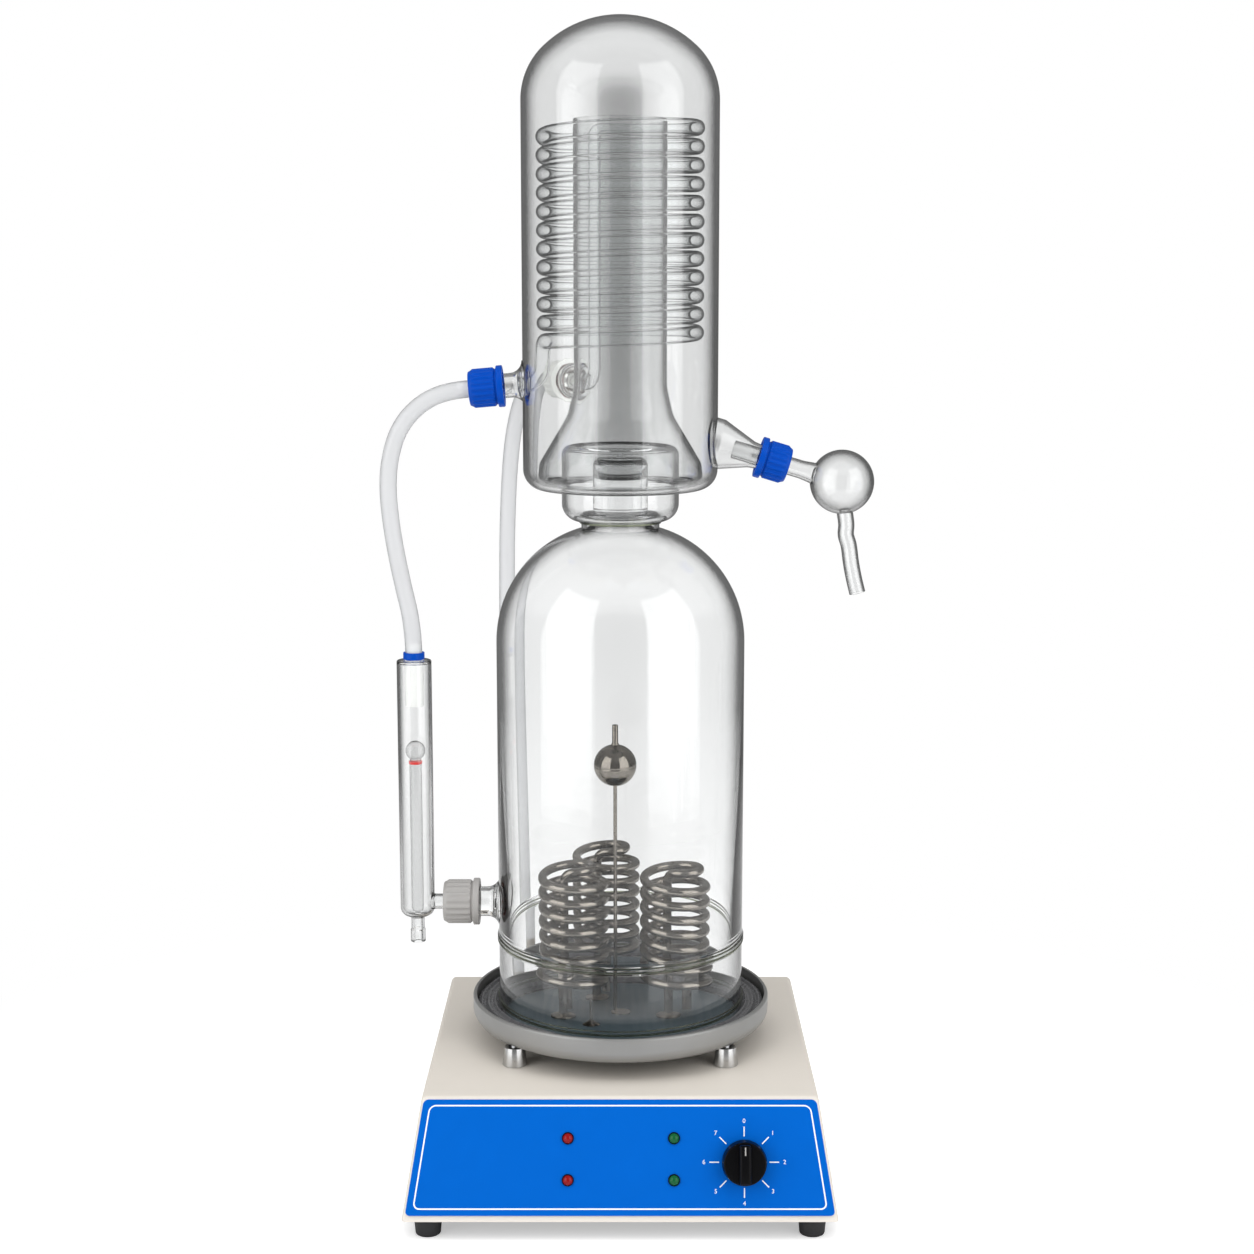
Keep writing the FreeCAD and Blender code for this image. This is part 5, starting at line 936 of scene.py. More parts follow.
@dataclass
class Hearth:
    """The tray with its gasket, the plate, the heaters and the ball float."""

    tray_floor: float = 97.5
    deck: float = 99.0
    plate_top: float = 103.0
    heaters: tuple[tuple[str, float, float, float], ...] = (
        ("heater_coil_left", -31.0, -13.0, 80.0),
        ("heater_coil_right", 36.0, -14.0, 51.0),
        ("heater_coil_rear", -10.0, 33.0, 70.0),
    )
    coil_radius: float = 20.4
    pitch: float = 9.75
    base: float = 127.0
    turns: int = 7
    rod: float = 2.95
    rod_end: float = 96.0
    foot_bend: float = 8.0
    head_bend: float = 7.0
    leg_across: float = 67.2
    leg_depth: float = 60.7
    leg_base: float = 85.5
    ball: tuple[float, float, float] = (-3.5, -1.0, 265.5)

    def build(self) -> None:
        """Build every piece of the hearth."""
        self.tray()
        self.legs()
        self.gasket()
        self.plate()
        self.heater_rods()
        self.float_ball()

    def tray(self) -> None:
        """Build the round tray with its rolled rim."""
        low = self.tray_floor
        outline = Profile(70.0, low).to(89.4, low).arc(89.4, low + 8, 7.95, -90, 0, 8)
        outline.to(97.35, low + 16.2, 0.8).to(96.6, low + 17.25, 0.6).to(95.0, low + 17.25, 0.5)
        outline.to(94.9, low + 16.3, 0.4).to(95.9, low + 15.6, 0.4)
        outline.arc(89.4, low + 8, 6.5, 0, -90, 8).to(70.0, low + 1.5)
        tray = Shape("tray_dish").spin(outline, closed=True, steps=128).done()
        dress(tray, "tray_metal", "tray")

    def legs(self) -> None:
        """Build the four tapered legs."""
        shape = Shape("tray_posts")
        for side in (-1, 1):
            for depth in (-1, 1):
                leg = Profile(0, 0.02).to(7.95, 0.02, 0.5).to(6.45, 11.98, 0.3).to(0, 11.98)
                spot = moved(side * self.leg_across, depth * self.leg_depth, self.leg_base)
                shape.add(Shape("post").spin(leg, steps=40).place(spot))
        dress(shape.done(), "polished_steel", "tray_legs", slot="tray_metal")

    def gasket(self) -> None:
        """Build the soft gasket with its folds."""
        low = self.deck
        outline = Profile(76.6, low).to(89.0, low, 1.0).to(94.2, low + 5.6, 2.0)
        outline.to(94.2, low + 10.2, 1.6).to(91.4, low + 11.6, 1.2).to(89.6, low + 8.6, 1.4)
        outline.to(87.6, low + 11.9, 1.2).to(84.8, low + 9.2, 1.4).to(83.0, low + 12.4, 1.0)
        outline.to(80.2, low + 8.4, 0.6).to(80.2, low + 4.0).to(76.6, low + 4.0)
        shape = Shape("gasket_ring").spin(outline, closed=True, steps=160)
        for vert in shape.bm.verts:
            angle = math.atan2(vert.co.y, vert.co.x)
            if vert.co.z > low + 6:
                vert.co.z += 0.5 * math.sin(angle * 9) * math.sin(angle * 4 + 1.0) - 0.5
        dress(shape.done(60), "dark_gasket", "bell_gasket")

    def plate(self) -> None:
        """Build the round plate, the ring of the float guide, and a black disc of painted shade in
        the ring.
        """
        top = self.plate_top
        low = self.deck + 0.05
        disc = Profile(0, low).to(76.1, low, 0.4).to(76.1, top, 0.6).to(0, top)
        plate = Shape("plate_disc").spin(disc, steps=128).done()
        dress(plate, "plate_steel", "heater_plate")
        ring = Profile(3.9, top + 0.01).to(6.5, top + 0.01, 0.3).to(6.4, top + 0.8, 0.3)
        ring.to(4.1, top + 0.78, 0.3)
        guide = Shape("guide_ring").spin(ring, closed=True, steps=48)
        dress(guide.place(moved(y=-1)).done(), "nickel")
        # A thin black disc inside the guide ring: painted shade for the dark hole under the ring.
        well = Profile(0, top + 0.02).to(3.95, top + 0.02, 0.1).to(3.95, top + 0.12, 0.05)
        well.to(0, top + 0.12)
        hole = Shape("guide_shadow").spin(well, steps=48).place(moved(y=-1)).done()
        dress(hole, "black_rubber")

    def heater_rods(self) -> None:
        """Wind the three heaters and set the flanges of their posts."""
        rise = math.atan2(self.pitch, TURN * self.coil_radius)
        seats = Shape("post_flanges")
        for name, across, back, turn in self.heaters:
            spot = moved(across, back) @ turned(turn, "Z")
            side = self.foot_bend * (1 - math.sin(rise))
            route = Route(Vector((self.coil_radius, side, self.rod_end)), Vector((0, 0, 1)))
            route.run_to_height(self.base - self.foot_bend * math.cos(rise))
            route.bend(Vector((0, -1, 0)), self.foot_bend, math.pi / 2 - rise)
            route.wind(self.coil_radius, self.pitch, self.turns, -1)
            route.bend(Vector((-1, 0, 0)), self.coil_radius * 0.5, math.pi)
            route.bend(Vector((0, 0, -1)), self.head_bend, math.pi / 2 - rise)
            route.run_to_height(self.rod_end)
            rod = route.tube(name + "_rod", self.rod, spot, 6)
            dress(rod, "nickel", name)
            post = spot @ Vector((0, self.head_bend * (1 - math.sin(rise)), 0))
            flange = Profile(0, 0.01).to(8.0, 0.01, 0.2).to(7.9, 1.4, 0.5).to(4.4, 1.95, 0.4)
            part = Shape("flange").spin(flange.to(0, 1.95), steps=48)
            seats.add(part.place(moved(post.x, post.y, self.plate_top)))
        dress(seats.done(), "nickel", "heater_seats")

    def float_ball(self) -> None:
        """Build the ball float, its neck and its rod."""
        across, back, height = self.ball
        ball = Profile(0, -14.0).arc(0, 0, 14.0, -88, -2, 20).to(13.9, 0).arc(0, 0, 14.0, 2, 78, 18)
        ball.to(2.6, 14.1, 0.8).to(2.0, 15.6, 0.6).to(1.9, 27.4, 0.3).to(0, 27.4)
        piece = Shape("ball_body").spin(ball, steps=72)
        piece.place(moved(across, back, height))
        dress(piece.done(28), "nickel", "ball_float", body="ball")
        stem = Profile(0, 74.2).to(1.25, 74.2, 0.2).to(1.25, height - 13.6).to(0, height - 13.6)
        rod = Shape("ball_rod").spin(stem, steps=24).place(moved(across, back))
        dress(rod.done(), "nickel", "float_rod", body="ball")


@dataclass
class Boiler:
    """The glass bell over the heaters, with the collar on its neck."""

    foot: float = 103.0
    radius: float = 80.0
    wall: float = 3.0
    shoulder_height: float = 349.0
    shoulder: float = 76.0
    neck: float = 25.0
    arm_height: float = 175.0
    arm_radius: float = 9.7
    arm_reach: float = 110.0
    collar_radius: float = 37.4
    collar_top: float = 475.0

    def side(self, inset: float) -> Profile:
        """Return the side from the shoulder to the neck, a set distance inside."""
        reach = self.shoulder - inset
        centre = self.radius - self.shoulder
        last = math.degrees(math.acos((self.neck - inset - centre) / reach))
        return Profile(self.radius - inset, self.shoulder_height).arc(
            centre, self.shoulder_height, reach, 0, last, 28)

    @property
    def neck_top(self) -> float:
        """Return the height of the neck."""
        run = self.neck - (self.radius - self.shoulder)
        return self.shoulder_height + math.sqrt(self.shoulder ** 2 - run ** 2) + 4.6

    def build(self) -> None:
        """Build the bell, the collar and the splash cap."""
        self.bell()
        self.collar()
        self.splash()

    def bell(self) -> None:
        """Build the bell with its bead and its side arm."""
        top = self.neck_top
        outline = Profile(0, self.foot).to(self.radius, self.foot, 0.8).to(self.radius, 149.8, 1.0)
        outline.to(self.radius + 0.9, 151.2, 0.6).to(self.radius + 0.2, 152.6, 0.5)
        outline.to(self.radius + 0.95, 153.6, 0.6).to(self.radius + 0.2, 154.8, 0.5)
        outline.to(self.radius + 0.6, 155.8, 0.5).to(self.radius, 157.4, 1.0)
        outline.then(self.side(0)).to(self.neck, top, 0.8).to(0, top)
        outer = Shape("bell_glass").spin(outline, steps=128).done()
        wall = self.wall
        inside = Profile(0, self.foot - 4).to(self.radius - wall, self.foot - 4)
        inside.to(self.radius - wall, 151.0).to(self.radius - wall - 0.5, 153.4, 0.5)
        inside.to(self.radius - wall, 155.8).then(self.side(wall))
        inside.to(self.neck - wall, top + 4).to(0, top + 4)
        inner = Shape("bell_inside").spin(inside, steps=128).done()
        turn = moved(z=self.arm_height) @ turned(-90, "Y")
        arm = Profile(0, 74.0).to(15.5, 74.0).to(15.5, 79.4).arc(17.7, 87.4, 8.0, -110, -180, 8)
        arm.to(self.arm_radius, 94.0).to(11.3, 94.4, 0.4).to(11.3, self.arm_reach, 0.8)
        arm.to(0, self.arm_reach)
        tube = Shape("bell_arm").spin(arm, steps=64).place(turn).done()
        bore = Profile(0, 66.0).to(12.0, 66.0).to(12.0, 76.0).to(8.8, 81.0, 4.0).to(7.0, 87.0, 4.0)
        bore.to(7.0, 116.0).to(0, 116.0)
        hole = Shape("bell_bore").spin(bore, steps=64).place(turn).done()
        bell = hollow([outer, tube], [inner, hole])
        dress(bell, "clear_glass", "boiler_bell")
        for name, height, thick in (("bead_upper", 154.4, 0.45), ("bead_lower", 151.6, 0.6),
                                    ("foot_upper", 113.7, 0.35), ("foot_lower", 111.2, 0.8)):
            near = self.radius + 0.05
            far = self.radius + 0.95
            line = Profile(near, height - thick).to(far, height - thick * 0.6, 0.3)
            line.to(far, height + thick * 0.6, 0.3).to(near, height + thick)
            ring = Shape(name + "_ring").spin(line, closed=True, steps=160).done()
            dress(ring, "olive_glass", slot="clear_glass")

    def collar_side(self, inset: float, low: float) -> Profile:
        """Return the collar's side, a set distance inside."""
        core = self.collar_radius - 11.4
        side = Profile(core, low + inset).arc(core, low + 11.4, 11.4 - inset, -88, 0, 12)
        brow = self.collar_radius - 6.0
        return side.arc(brow, self.collar_top - 6.0, 6.0 - inset, 0, 90, 10)

    def collar(self) -> None:
        """Build the glass cup on the neck."""
        low = self.neck_top + 0.1
        inner = self.collar_side(2.4, low).back()
        outline = Profile(22.0, low).then(self.collar_side(0, low)).then(inner).to(22.0, low + 2.4)
        cup = Shape("collar_glass").spin(outline, closed=True, steps=96).done()
        dress(cup, "inner_glass", "neck_collar", slot="clear_glass")
        seat = Profile(25.05, low - 1.3).to(26.1, low - 1.3, 0.2).to(26.4, low - 0.05, 0.2)
        seat.to(25.05, low - 0.05)
        ring = Shape("neck_seat").spin(seat, closed=True, steps=96).done()
        dress(ring, "olive_glass", slot="clear_glass")

    def splash(self) -> None:
        """Build the splash cap with its knob."""
        deck = self.neck_top + 2.45
        outline = Profile(15.8, deck).to(24.3, deck, 0.5).to(24.3, deck + 1.9, 0.5)
        outline.to(17.5, deck + 2.4, 1.0).arc(12.5, 462.0, 5.0, 0, 90, 8).to(3.0, 467.0, 1.0)
        outline.to(3.0, 470.5, 0.8).arc(0, 469.9, 2.6, 20, 90, 8).to(0, 465.2)
        outline.arc(12.5, 462.0, 3.2, 90, 0, 8)
        cap = Shape("splash_glass").spin(outline, steps=72)
        bmesh.ops.holes_fill(cap.bm, edges=cap.bm.edges, sides=0)
        dress(cap.done(), "inner_glass", "splash_cap", slot="clear_glass")


@dataclass
class Condenser:
    """The glass jacket with its arms, and the riser and coil in it."""

    radius: float = 62.0
    wall: float = 2.8
    floor: float = 447.0
    corner: float = 13.0
    spring: float = 689.0
    rise: float = 51.3
    shoulder: float = 44.0
    arm_height: float = 513.6
    return_tilt: float = 5.0
    rear_azimuth: float = 120.0
    outlet_height: float = 475.5
    outlet_tilt: float = 16.7
    coil_radius: float = 48.0
    coil_base: float = 541.0
    coil_pitch: float = 11.45
    coil_tube: float = 4.95
    coil_wall: float = 1.1
    arm_bend: float = 10.8
    climb_bend: float = 13.0
    inward_bend: float = 24.0
    inward_sweep: float = 62.0
    drop_bend: float = 10.0
    coil_turns: int = 12
    arm_overlap: float = 2.3

    def arm(self, azimuth: float, tilt: float, height: float) -> Matrix:
        """Return the placement whose Z axis runs out along an arm from the wall."""
        turn = turned(azimuth, "Z")
        wall = turn @ Vector((self.radius, 0, 0)) + Vector((0, 0, height))
        return moved(*wall) @ turn @ turned(90 + tilt, "Y")

    @property
    def return_arm(self) -> Matrix:
        """Return the placement of the left arm."""
        return self.arm(180.0, self.return_tilt, self.arm_height)

    @property
    def rear_arm(self) -> Matrix:
        """Return the placement of the rear arm."""
        return self.arm(self.rear_azimuth, 0.0, self.arm_height)

    @property
    def outlet_arm(self) -> Matrix:
        """Return the placement of the right arm."""
        return self.arm(0.0, self.outlet_tilt, self.outlet_height)

    def build(self) -> None:
        """Build the jacket, the riser and the coil."""
        self.jacket()
        self.riser()
        self.coil()

    def side(self, inset: float) -> Profile:
        """Return the side from the floor to the crown, a set distance inside."""
        swell = self.radius - self.shoulder
        crown = swell ** 2 + self.rise ** 2 - self.shoulder ** 2
        crown /= 2 * (self.rise - self.shoulder)
        middle = self.spring + self.rise - crown
        meeting = math.degrees(math.atan2(self.spring - middle, swell))
        core = self.radius - self.corner
        side = Profile(core, self.floor + inset)
        side.arc(core, self.floor + self.corner, self.corner - inset, -88, 0, 12)
        side.arc(swell, self.spring, self.shoulder - inset, 0, meeting, 16)
        side.arc(0, middle, crown - inset, meeting + 1, 89.5, 12)
        return side.to(0, self.spring + self.rise - inset)

    def hose_arm(self, name: str, place: Matrix) -> tuple[bpy.types.Object, bpy.types.Object]:
        """Return the outer form and the bore of one hose arm."""
        reach = 27.9
        outline = Profile(0, -2.6).to(15.0, -2.6).to(15.0, -0.8).arc(15.8, 7.2, 8.0, -96, -180, 10)
        outline.to(7.8, 13.0).to(8.9, 13.4, 0.4).to(8.9, reach, 0.8).to(0, reach)
        outer = Shape(name).spin(outline, steps=64).place(place).done()
        bore = Profile(0, -14).to(9.6, -14).to(9.6, -1.5).to(5.6, 5.0, 4.0).to(5.4, 34).to(0, 34)
        return outer, Shape(name + "_bore").spin(bore, steps=48).place(place).done()

    def jacket(self) -> None:
        """Build the jacket with its three arms."""
        outline = Profile(0, self.floor).then(self.side(0))
        outer = Shape("jacket_glass").spin(outline, steps=128).done()
        inner = Profile(0, self.floor + self.wall).then(self.side(self.wall))
        inside = Shape("jacket_inside").spin(inner, steps=128).done()
        mouth = Profile(0, 440).to(37.5, 440).to(37.5, 452).to(0, 452)
        hole = Shape("jacket_mouth").spin(mouth, steps=96).done()
        left, left_bore = self.hose_arm("left_arm", self.return_arm)
        rear, rear_bore = self.hose_arm("rear_arm", self.rear_arm)
        cone = Profile(0, -8).to(16.4, -8).to(16.4, 0.5, 3.0).to(8.6, 22.0, 5.0).to(7.8, 27.5)
        cone.to(8.9, 28.0, 0.4).to(8.9, 40.8, 0.8).to(0, 40.8)
        right = Shape("right_arm").spin(cone, steps=64).place(self.outlet_arm).done()
        core = Profile(0, -14).to(14.4, -14).to(14.4, 0.0, 3.0).to(6.7, 22.0, 5.0).to(6.2, 26)
        core.to(6.2, 46).to(0, 46)
        right_bore = Shape("right_bore").spin(core, steps=64).place(self.outlet_arm).done()
        jacket = hollow([outer, left, rear, right],
                        [inside, hole, left_bore, rear_bore, right_bore])
        dress(jacket, "jacket_glass", "condenser_jacket", slot="clear_glass")

    def riser(self) -> None:
        """Build the riser with its flared foot."""
        wall = 2.2
        low = self.floor + self.wall + 0.1

        def face(inset: float) -> Profile:
            """Return the riser's face, a set distance inside."""
            line = Profile(29.5 - inset, 677.5).to(29.5 - inset, 512.0, 30.0)
            line.to(33.5 - inset, 494.0, 24.0).to(51.6 - inset, 464.0, 10.0)
            return line.to(52.6 - inset, low + 4.0, 4.0).to(47.6, low + inset * 0.9, 2.0)

        outline = face(0).then(face(wall).back())
        tube = Shape("riser_glass").spin(outline, closed=True, steps=96)
        dress(tube.done(45), "inner_glass", "steam_riser", slot="clear_glass")

    def coil(self) -> None:
        """Wind the cooling coil from the left arm up and back to the rear arm."""
        rise = math.atan2(self.coil_pitch, TURN * self.coil_radius)
        side = self.climb_bend * (1 - math.sin(rise))
        lead = math.atan2(side, self.coil_radius)
        leg = math.hypot(self.coil_radius, side)
        tilt = math.radians(self.return_tilt)
        out = Vector((-math.cos(tilt), 0, -math.sin(tilt)))
        wall = Vector((-self.radius, 0, self.arm_height))
        corner = wall + out * ((leg - self.radius) / math.cos(tilt))
        back = self.arm_bend * math.tan((math.pi / 2 - tilt) * 0.5)
        start = wall + out * (self.arm_overlap / math.cos(tilt))
        route = Route(start, -out)
        route.run((corner + out * back - start).length)
        route.bend(Vector((0, 0, 1)), self.arm_bend, math.pi / 2 - tilt)
        route.run_to_height(self.coil_base - self.climb_bend * math.cos(rise))
        first = math.pi + lead
        route.bend(Vector((-math.sin(first), math.cos(first), 0)), self.climb_bend,
                   math.pi / 2 - rise)
        sweep = math.radians(self.inward_sweep)
        reach = self.coil_radius - self.inward_bend
        plan = Vector((reach, 0)) + Vector((math.cos(sweep), math.sin(sweep))) * self.inward_bend
        plan += Vector((-math.sin(sweep), math.cos(sweep))) * self.drop_bend
        azimuth = math.radians(self.rear_azimuth)
        last = azimuth - math.atan2(plan.y, plan.x) + self.coil_turns * TURN
        route.wind(self.coil_radius, self.coil_pitch, (last - first) / TURN, 1)
        here = route.points[-1]
        route.bend(Vector((-here.x, -here.y, 0)), self.inward_bend, sweep)
        down = math.acos(max(-1.0, min(1.0, -route.heading.z)))
        route.bend(Vector((0, 0, -1)), self.drop_bend, down)
        route.run_to_height(self.arm_height + self.arm_bend)
        rear = Vector((math.cos(azimuth), math.sin(azimuth), 0))
        route.bend(rear, self.arm_bend, math.pi / 2)
        flat = Vector((route.points[-1].x, route.points[-1].y, 0))
        route.run(self.radius + self.arm_overlap - flat.length)
        tube = route.tube("coil_glass", self.coil_tube, Matrix.Identity(4), 6)
        bore = tube.modifiers.new("bore", "SOLIDIFY")
        bore.thickness = self.coil_wall * MM
        bore.offset = -1.0
        dress(tube, "coil_glass", "condenser_coil", slot="clear_glass")


@dataclass
class ScrewCaps:
    """The ribbed screw caps and their seals."""

    condenser: Condenser = field(default_factory=Condenser)
    ribs: int = 20
    crest: float = 0.45
    trough: float = 0.35

    def build(self) -> None:
        """Build the four caps."""
        place = self.condenser
        for name, arm, start, length, hole, finish in (
                ("return", place.return_arm, 12.0, 22.0, 5.8, "blue_cap"),
                ("supply", place.rear_arm, 12.0, 22.0, 5.8, "natural_cap"),
                ("outlet", place.outlet_arm, 27.0, 20.0, 6.15, "blue_cap")):
            self.cap(name, arm @ moved(z=start), 12.4, 13.2, length, 9.4, hole, finish)
        level = moved(-92.6, z=175.0) @ turned(-90, "Y")
        self.cap("level", level, 14.4, 15.3, 23.5, 11.8, 5.3, "grey_plastic")

    def cap(self, name: str, place: Matrix, radius: float, band: float, length: float,
            well: float, hole: float, finish: str) -> None:
        """Build one cap: a band, a grip with round ribs, and an eased end.

        Args:
            name: The joint's name.
            place: Placement whose Z axis runs out.
            radius: Radius of the grip.
            band: Radius of the band.
            length: Length of the cap.
            well: Radius of the threaded well.
            hole: Radius of the hole in the end.
            finish: The finish's name.
        """
        outline = Profile(well, 0).to(band, 0, 0.7).to(band, 3.9, 0.6).to(radius - 1.1, 4.3, 0.3)
        outline.to(radius - 1.1, 5.0, 0.2).to(radius - 0.5, 5.6, 0.3)
        for step in range(7):
            outline.to(radius - 0.5, 6.0 + (length - 9.0) * step / 6)
        outline.to(radius - 0.8, length - 2.0, 0.4).to(radius - 1.8, length, 0.9)
        outline.to(hole, length, 0.4).to(hole, length - 2.5).to(well, length - 2.5)
        shape = Shape(name + "_cap_body").spin(outline, closed=True, steps=self.ribs * 8)
        for vert in shape.bm.verts:
            reach = math.hypot(vert.co.x, vert.co.y)
            if abs(reach - (radius - 0.5)) < 0.02 and 5.9 < vert.co.z < length - 2.9:
                wave = math.cos(math.atan2(vert.co.y, vert.co.x) * self.ribs)
                height = self.crest if wave > 0 else -self.trough
                grow = 1 + height * min(1.0, abs(wave) * 1.8) / reach
                vert.co.x *= grow
                vert.co.y *= grow
        cap = shape.place(place).done(50)
        dress(cap, finish, name + "_cap", body=name + "_cap_body")


@dataclass
class Delivery:
    """The bulb with its tube and its bent spout."""

    condenser: Condenser = field(default_factory=Condenser)
    reach: float = 83.0
    bulb: float = 20.5
    wall: float = 1.8
    spout: tuple[tuple[float, float], ...] = ((1.8, 17.5), (3.2, 27.0), (3.0, 34.0), (5.0, 41.0),
                                              (6.6, 52.0), (8.6, 62.0), (11.0, 71.5))

    def build(self) -> None:
        """Build the bulb."""
        arm = self.condenser.outlet_arm
        middle = arm @ Vector((0, 0, self.reach))
        outer = self.forms("bulb_glass", 0.0, arm, middle, 0.0)
        inner = self.forms("bulb_inside", self.wall, arm, middle, 3.0)
        piece = hollow(outer, inner)
        dress(piece, "tube_glass", "delivery_bulb", body="delivery", slot="clear_glass")

    def forms(self, name: str, inset: float, arm: Matrix, middle: Vector,
              past: float) -> list[bpy.types.Object]:
        """Return the ball, the tube and the spout, a set distance inside.

        Args:
            name: The first form's name.
            inset: Distance inside the outer faces.
            arm: Placement of the arm.
            middle: Middle of the ball.
            past: How far the ends go on.

        Returns:
            The forms.
        """
        share = inset / self.wall
        reach = self.bulb - inset
        ball = Profile(0, -reach).arc(0, 0, reach, -88, 88, 36).to(0, reach)
        made = [Shape(name).spin(ball, steps=72).place(moved(*middle)).done()]
        tube_radius = 5.85 - 1.5 * share
        tube = Profile(0, 10.0 - past).to(tube_radius, 10.0 - past, 0.4)
        tube.to(tube_radius, 56.0).to(tube_radius * 1.15, 63.5, 3.0).to(tube_radius * 1.7, 67.5)
        tube.to(0, 67.5)
        made.append(Shape(name + "_tube").spin(tube, steps=48).place(arm).done())
        radius = 5.2 - 1.3 * share
        points = [middle + Vector((across, 0, -drop)) for across, drop in self.spout]
        if past:
            points.append(points[-1] + (points[-1] - points[-2]).normalized() * past)
        smooth = self.eased(points)
        heading = smooth[1] - smooth[0]
        route = Route(smooth[0], heading)
        route.points = smooth
        made.append(route.tube(name + "_spout", radius, Matrix.Identity(4), 14))
        return made

    @staticmethod
    def eased(points: list[Vector]) -> list[Vector]:
        """Return a denser, smooth line through points."""
        steps = 6
        padded = [points[0] * 2 - points[1], *points, points[-1] * 2 - points[-2]]
        made = []
        for one, two, three, four in zip(padded, padded[1:], padded[2:], padded[3:]):
            for step in range(steps):
                t = step / steps
                made.append(0.5 * ((two * 2) + (three - one) * t
                                   + (one * 2 - two * 5 + three * 4 - four) * t * t
                                   + (two * 3 - one - three * 3 + four) * t * t * t))
        made.append(points[-1])
        return made


@dataclass
class LevelTube:
    """The level tube with its inlet, float and connector."""

    across: float = -133.6
    radius: float = 11.25
    wall: float = 1.6
    base: float = 165.5
    top: float = 336.2
    arm_height: float = 175.0

    def build(self) -> None:
        """Build every piece of the level tube."""
        self.tube()
        self.inlet()
        self.float_piece()

    def tube(self) -> None:
        """Build the tube with its side arm and drain."""
        move = moved(self.across)
        low = self.base - 17.5
        outline = Profile(0, low).to(4.9, low, 0.5).to(4.9, low + 8, 0.4).to(4.4, low + 8.6)
        outline.to(4.4, self.base - 1, 1.0).to(6.4, self.base, 1.0)
        outline.arc(5.25, self.base + 6, 6.0, -78, 0, 8).to(self.radius, self.top, 1.2)
        outline.to(0, self.top)
        outer = Shape("level_glass").spin(outline, steps=72).place(move).done()
        inside = Profile(0, low - 3).to(2.6, low - 3).to(2.6, self.base + 1.2, 1.0)
        inside.to(5.0, self.base + 1.7, 1.0).arc(5.25, self.base + 6, 4.4, -80, 0, 8)
        inside.to(self.radius - self.wall, self.top - self.wall, 1.0)
        inside.to(6.2, self.top - self.wall).to(6.2, self.top + 3).to(0, self.top + 3)
        inner = Shape("level_inside").spin(inside, steps=72).place(move).done()
        turn = moved(self.across, z=self.arm_height) @ turned(90, "Y")
        arm = Profile(0, 6.0).to(8.4, 6.0).to(8.4, 7.6).to(5.0, 11.2, 1.6).to(5.0, 33.6, 0.5)
        arm.to(0, 33.6)
        side = Shape("level_arm").spin(arm, steps=48).place(turn).done()
        bore = Profile(0, 2.0).to(5.6, 2.0).to(5.6, 6.6).to(3.7, 10.4, 1.6).to(3.7, 38).to(0, 38)
        hole = Shape("level_bore").spin(bore, steps=48).place(turn).done()
        dress(hollow([outer, side], [inner, hole]), "tube_glass", "level_tube",
              slot="clear_glass")

    def inlet(self) -> None:
        """Build the frosted inlet tube and the blue ring over it."""
        top = self.top
        outline = Profile(4.85, top - 30).to(6.1, top - 30, 0.4).to(6.1, top + 0.3, 0.3)
        outline.to(3.9, top + 0.3).to(3.9, top + 11, 0.3).to(2.7, top + 11).to(2.7, top - 1.6)
        outline.to(4.85, top - 1.6)
        inlet = Shape("inlet_glass").spin(outline, closed=True, steps=48)
        inlet.place(moved(self.across))
        dress(inlet.done(), "frosted_glass", "level_inlet_tube")
        low = top + 0.6
        ring = Profile(5.8, low).to(6.9, low, 0.4).to(6.9, low + 4.6, 0.6).to(5.8, low + 4.6)
        piece = Shape("connector_ring").spin(ring, closed=True, steps=48)
        piece.place(moved(self.across))
        dress(piece.done(), "blue_cap", "hose_connector")

    def float_piece(self) -> None:
        """Build the glass float with its mark."""
        low = 167.5
        body = Profile(0, low).arc(0, low + 4.0, 4.0, -88, 0, 10).to(4.0, 268.6, 0.8)
        body.to(3.6, 270.0, 0.8).arc(0, 276.5, 6.4, -54, 88, 20).to(0, 282.9)
        glass = Shape("float_glass").spin(body, steps=48)
        glass.place(moved(self.across))
        dress(glass.done(), "float_glass", "level_float", body="indicator_float",
              slot="clear_glass")
        mark = Profile(4.12, 267.8).to(4.35, 267.8, 0.1).to(4.35, 269.6, 0.1).to(4.12, 269.6)
        ring = Shape("mark_ring").spin(mark, closed=True, steps=48)
        ring.place(moved(self.across))
        dress(ring.done(), "red_mark", "float_mark", body="indicator_float")


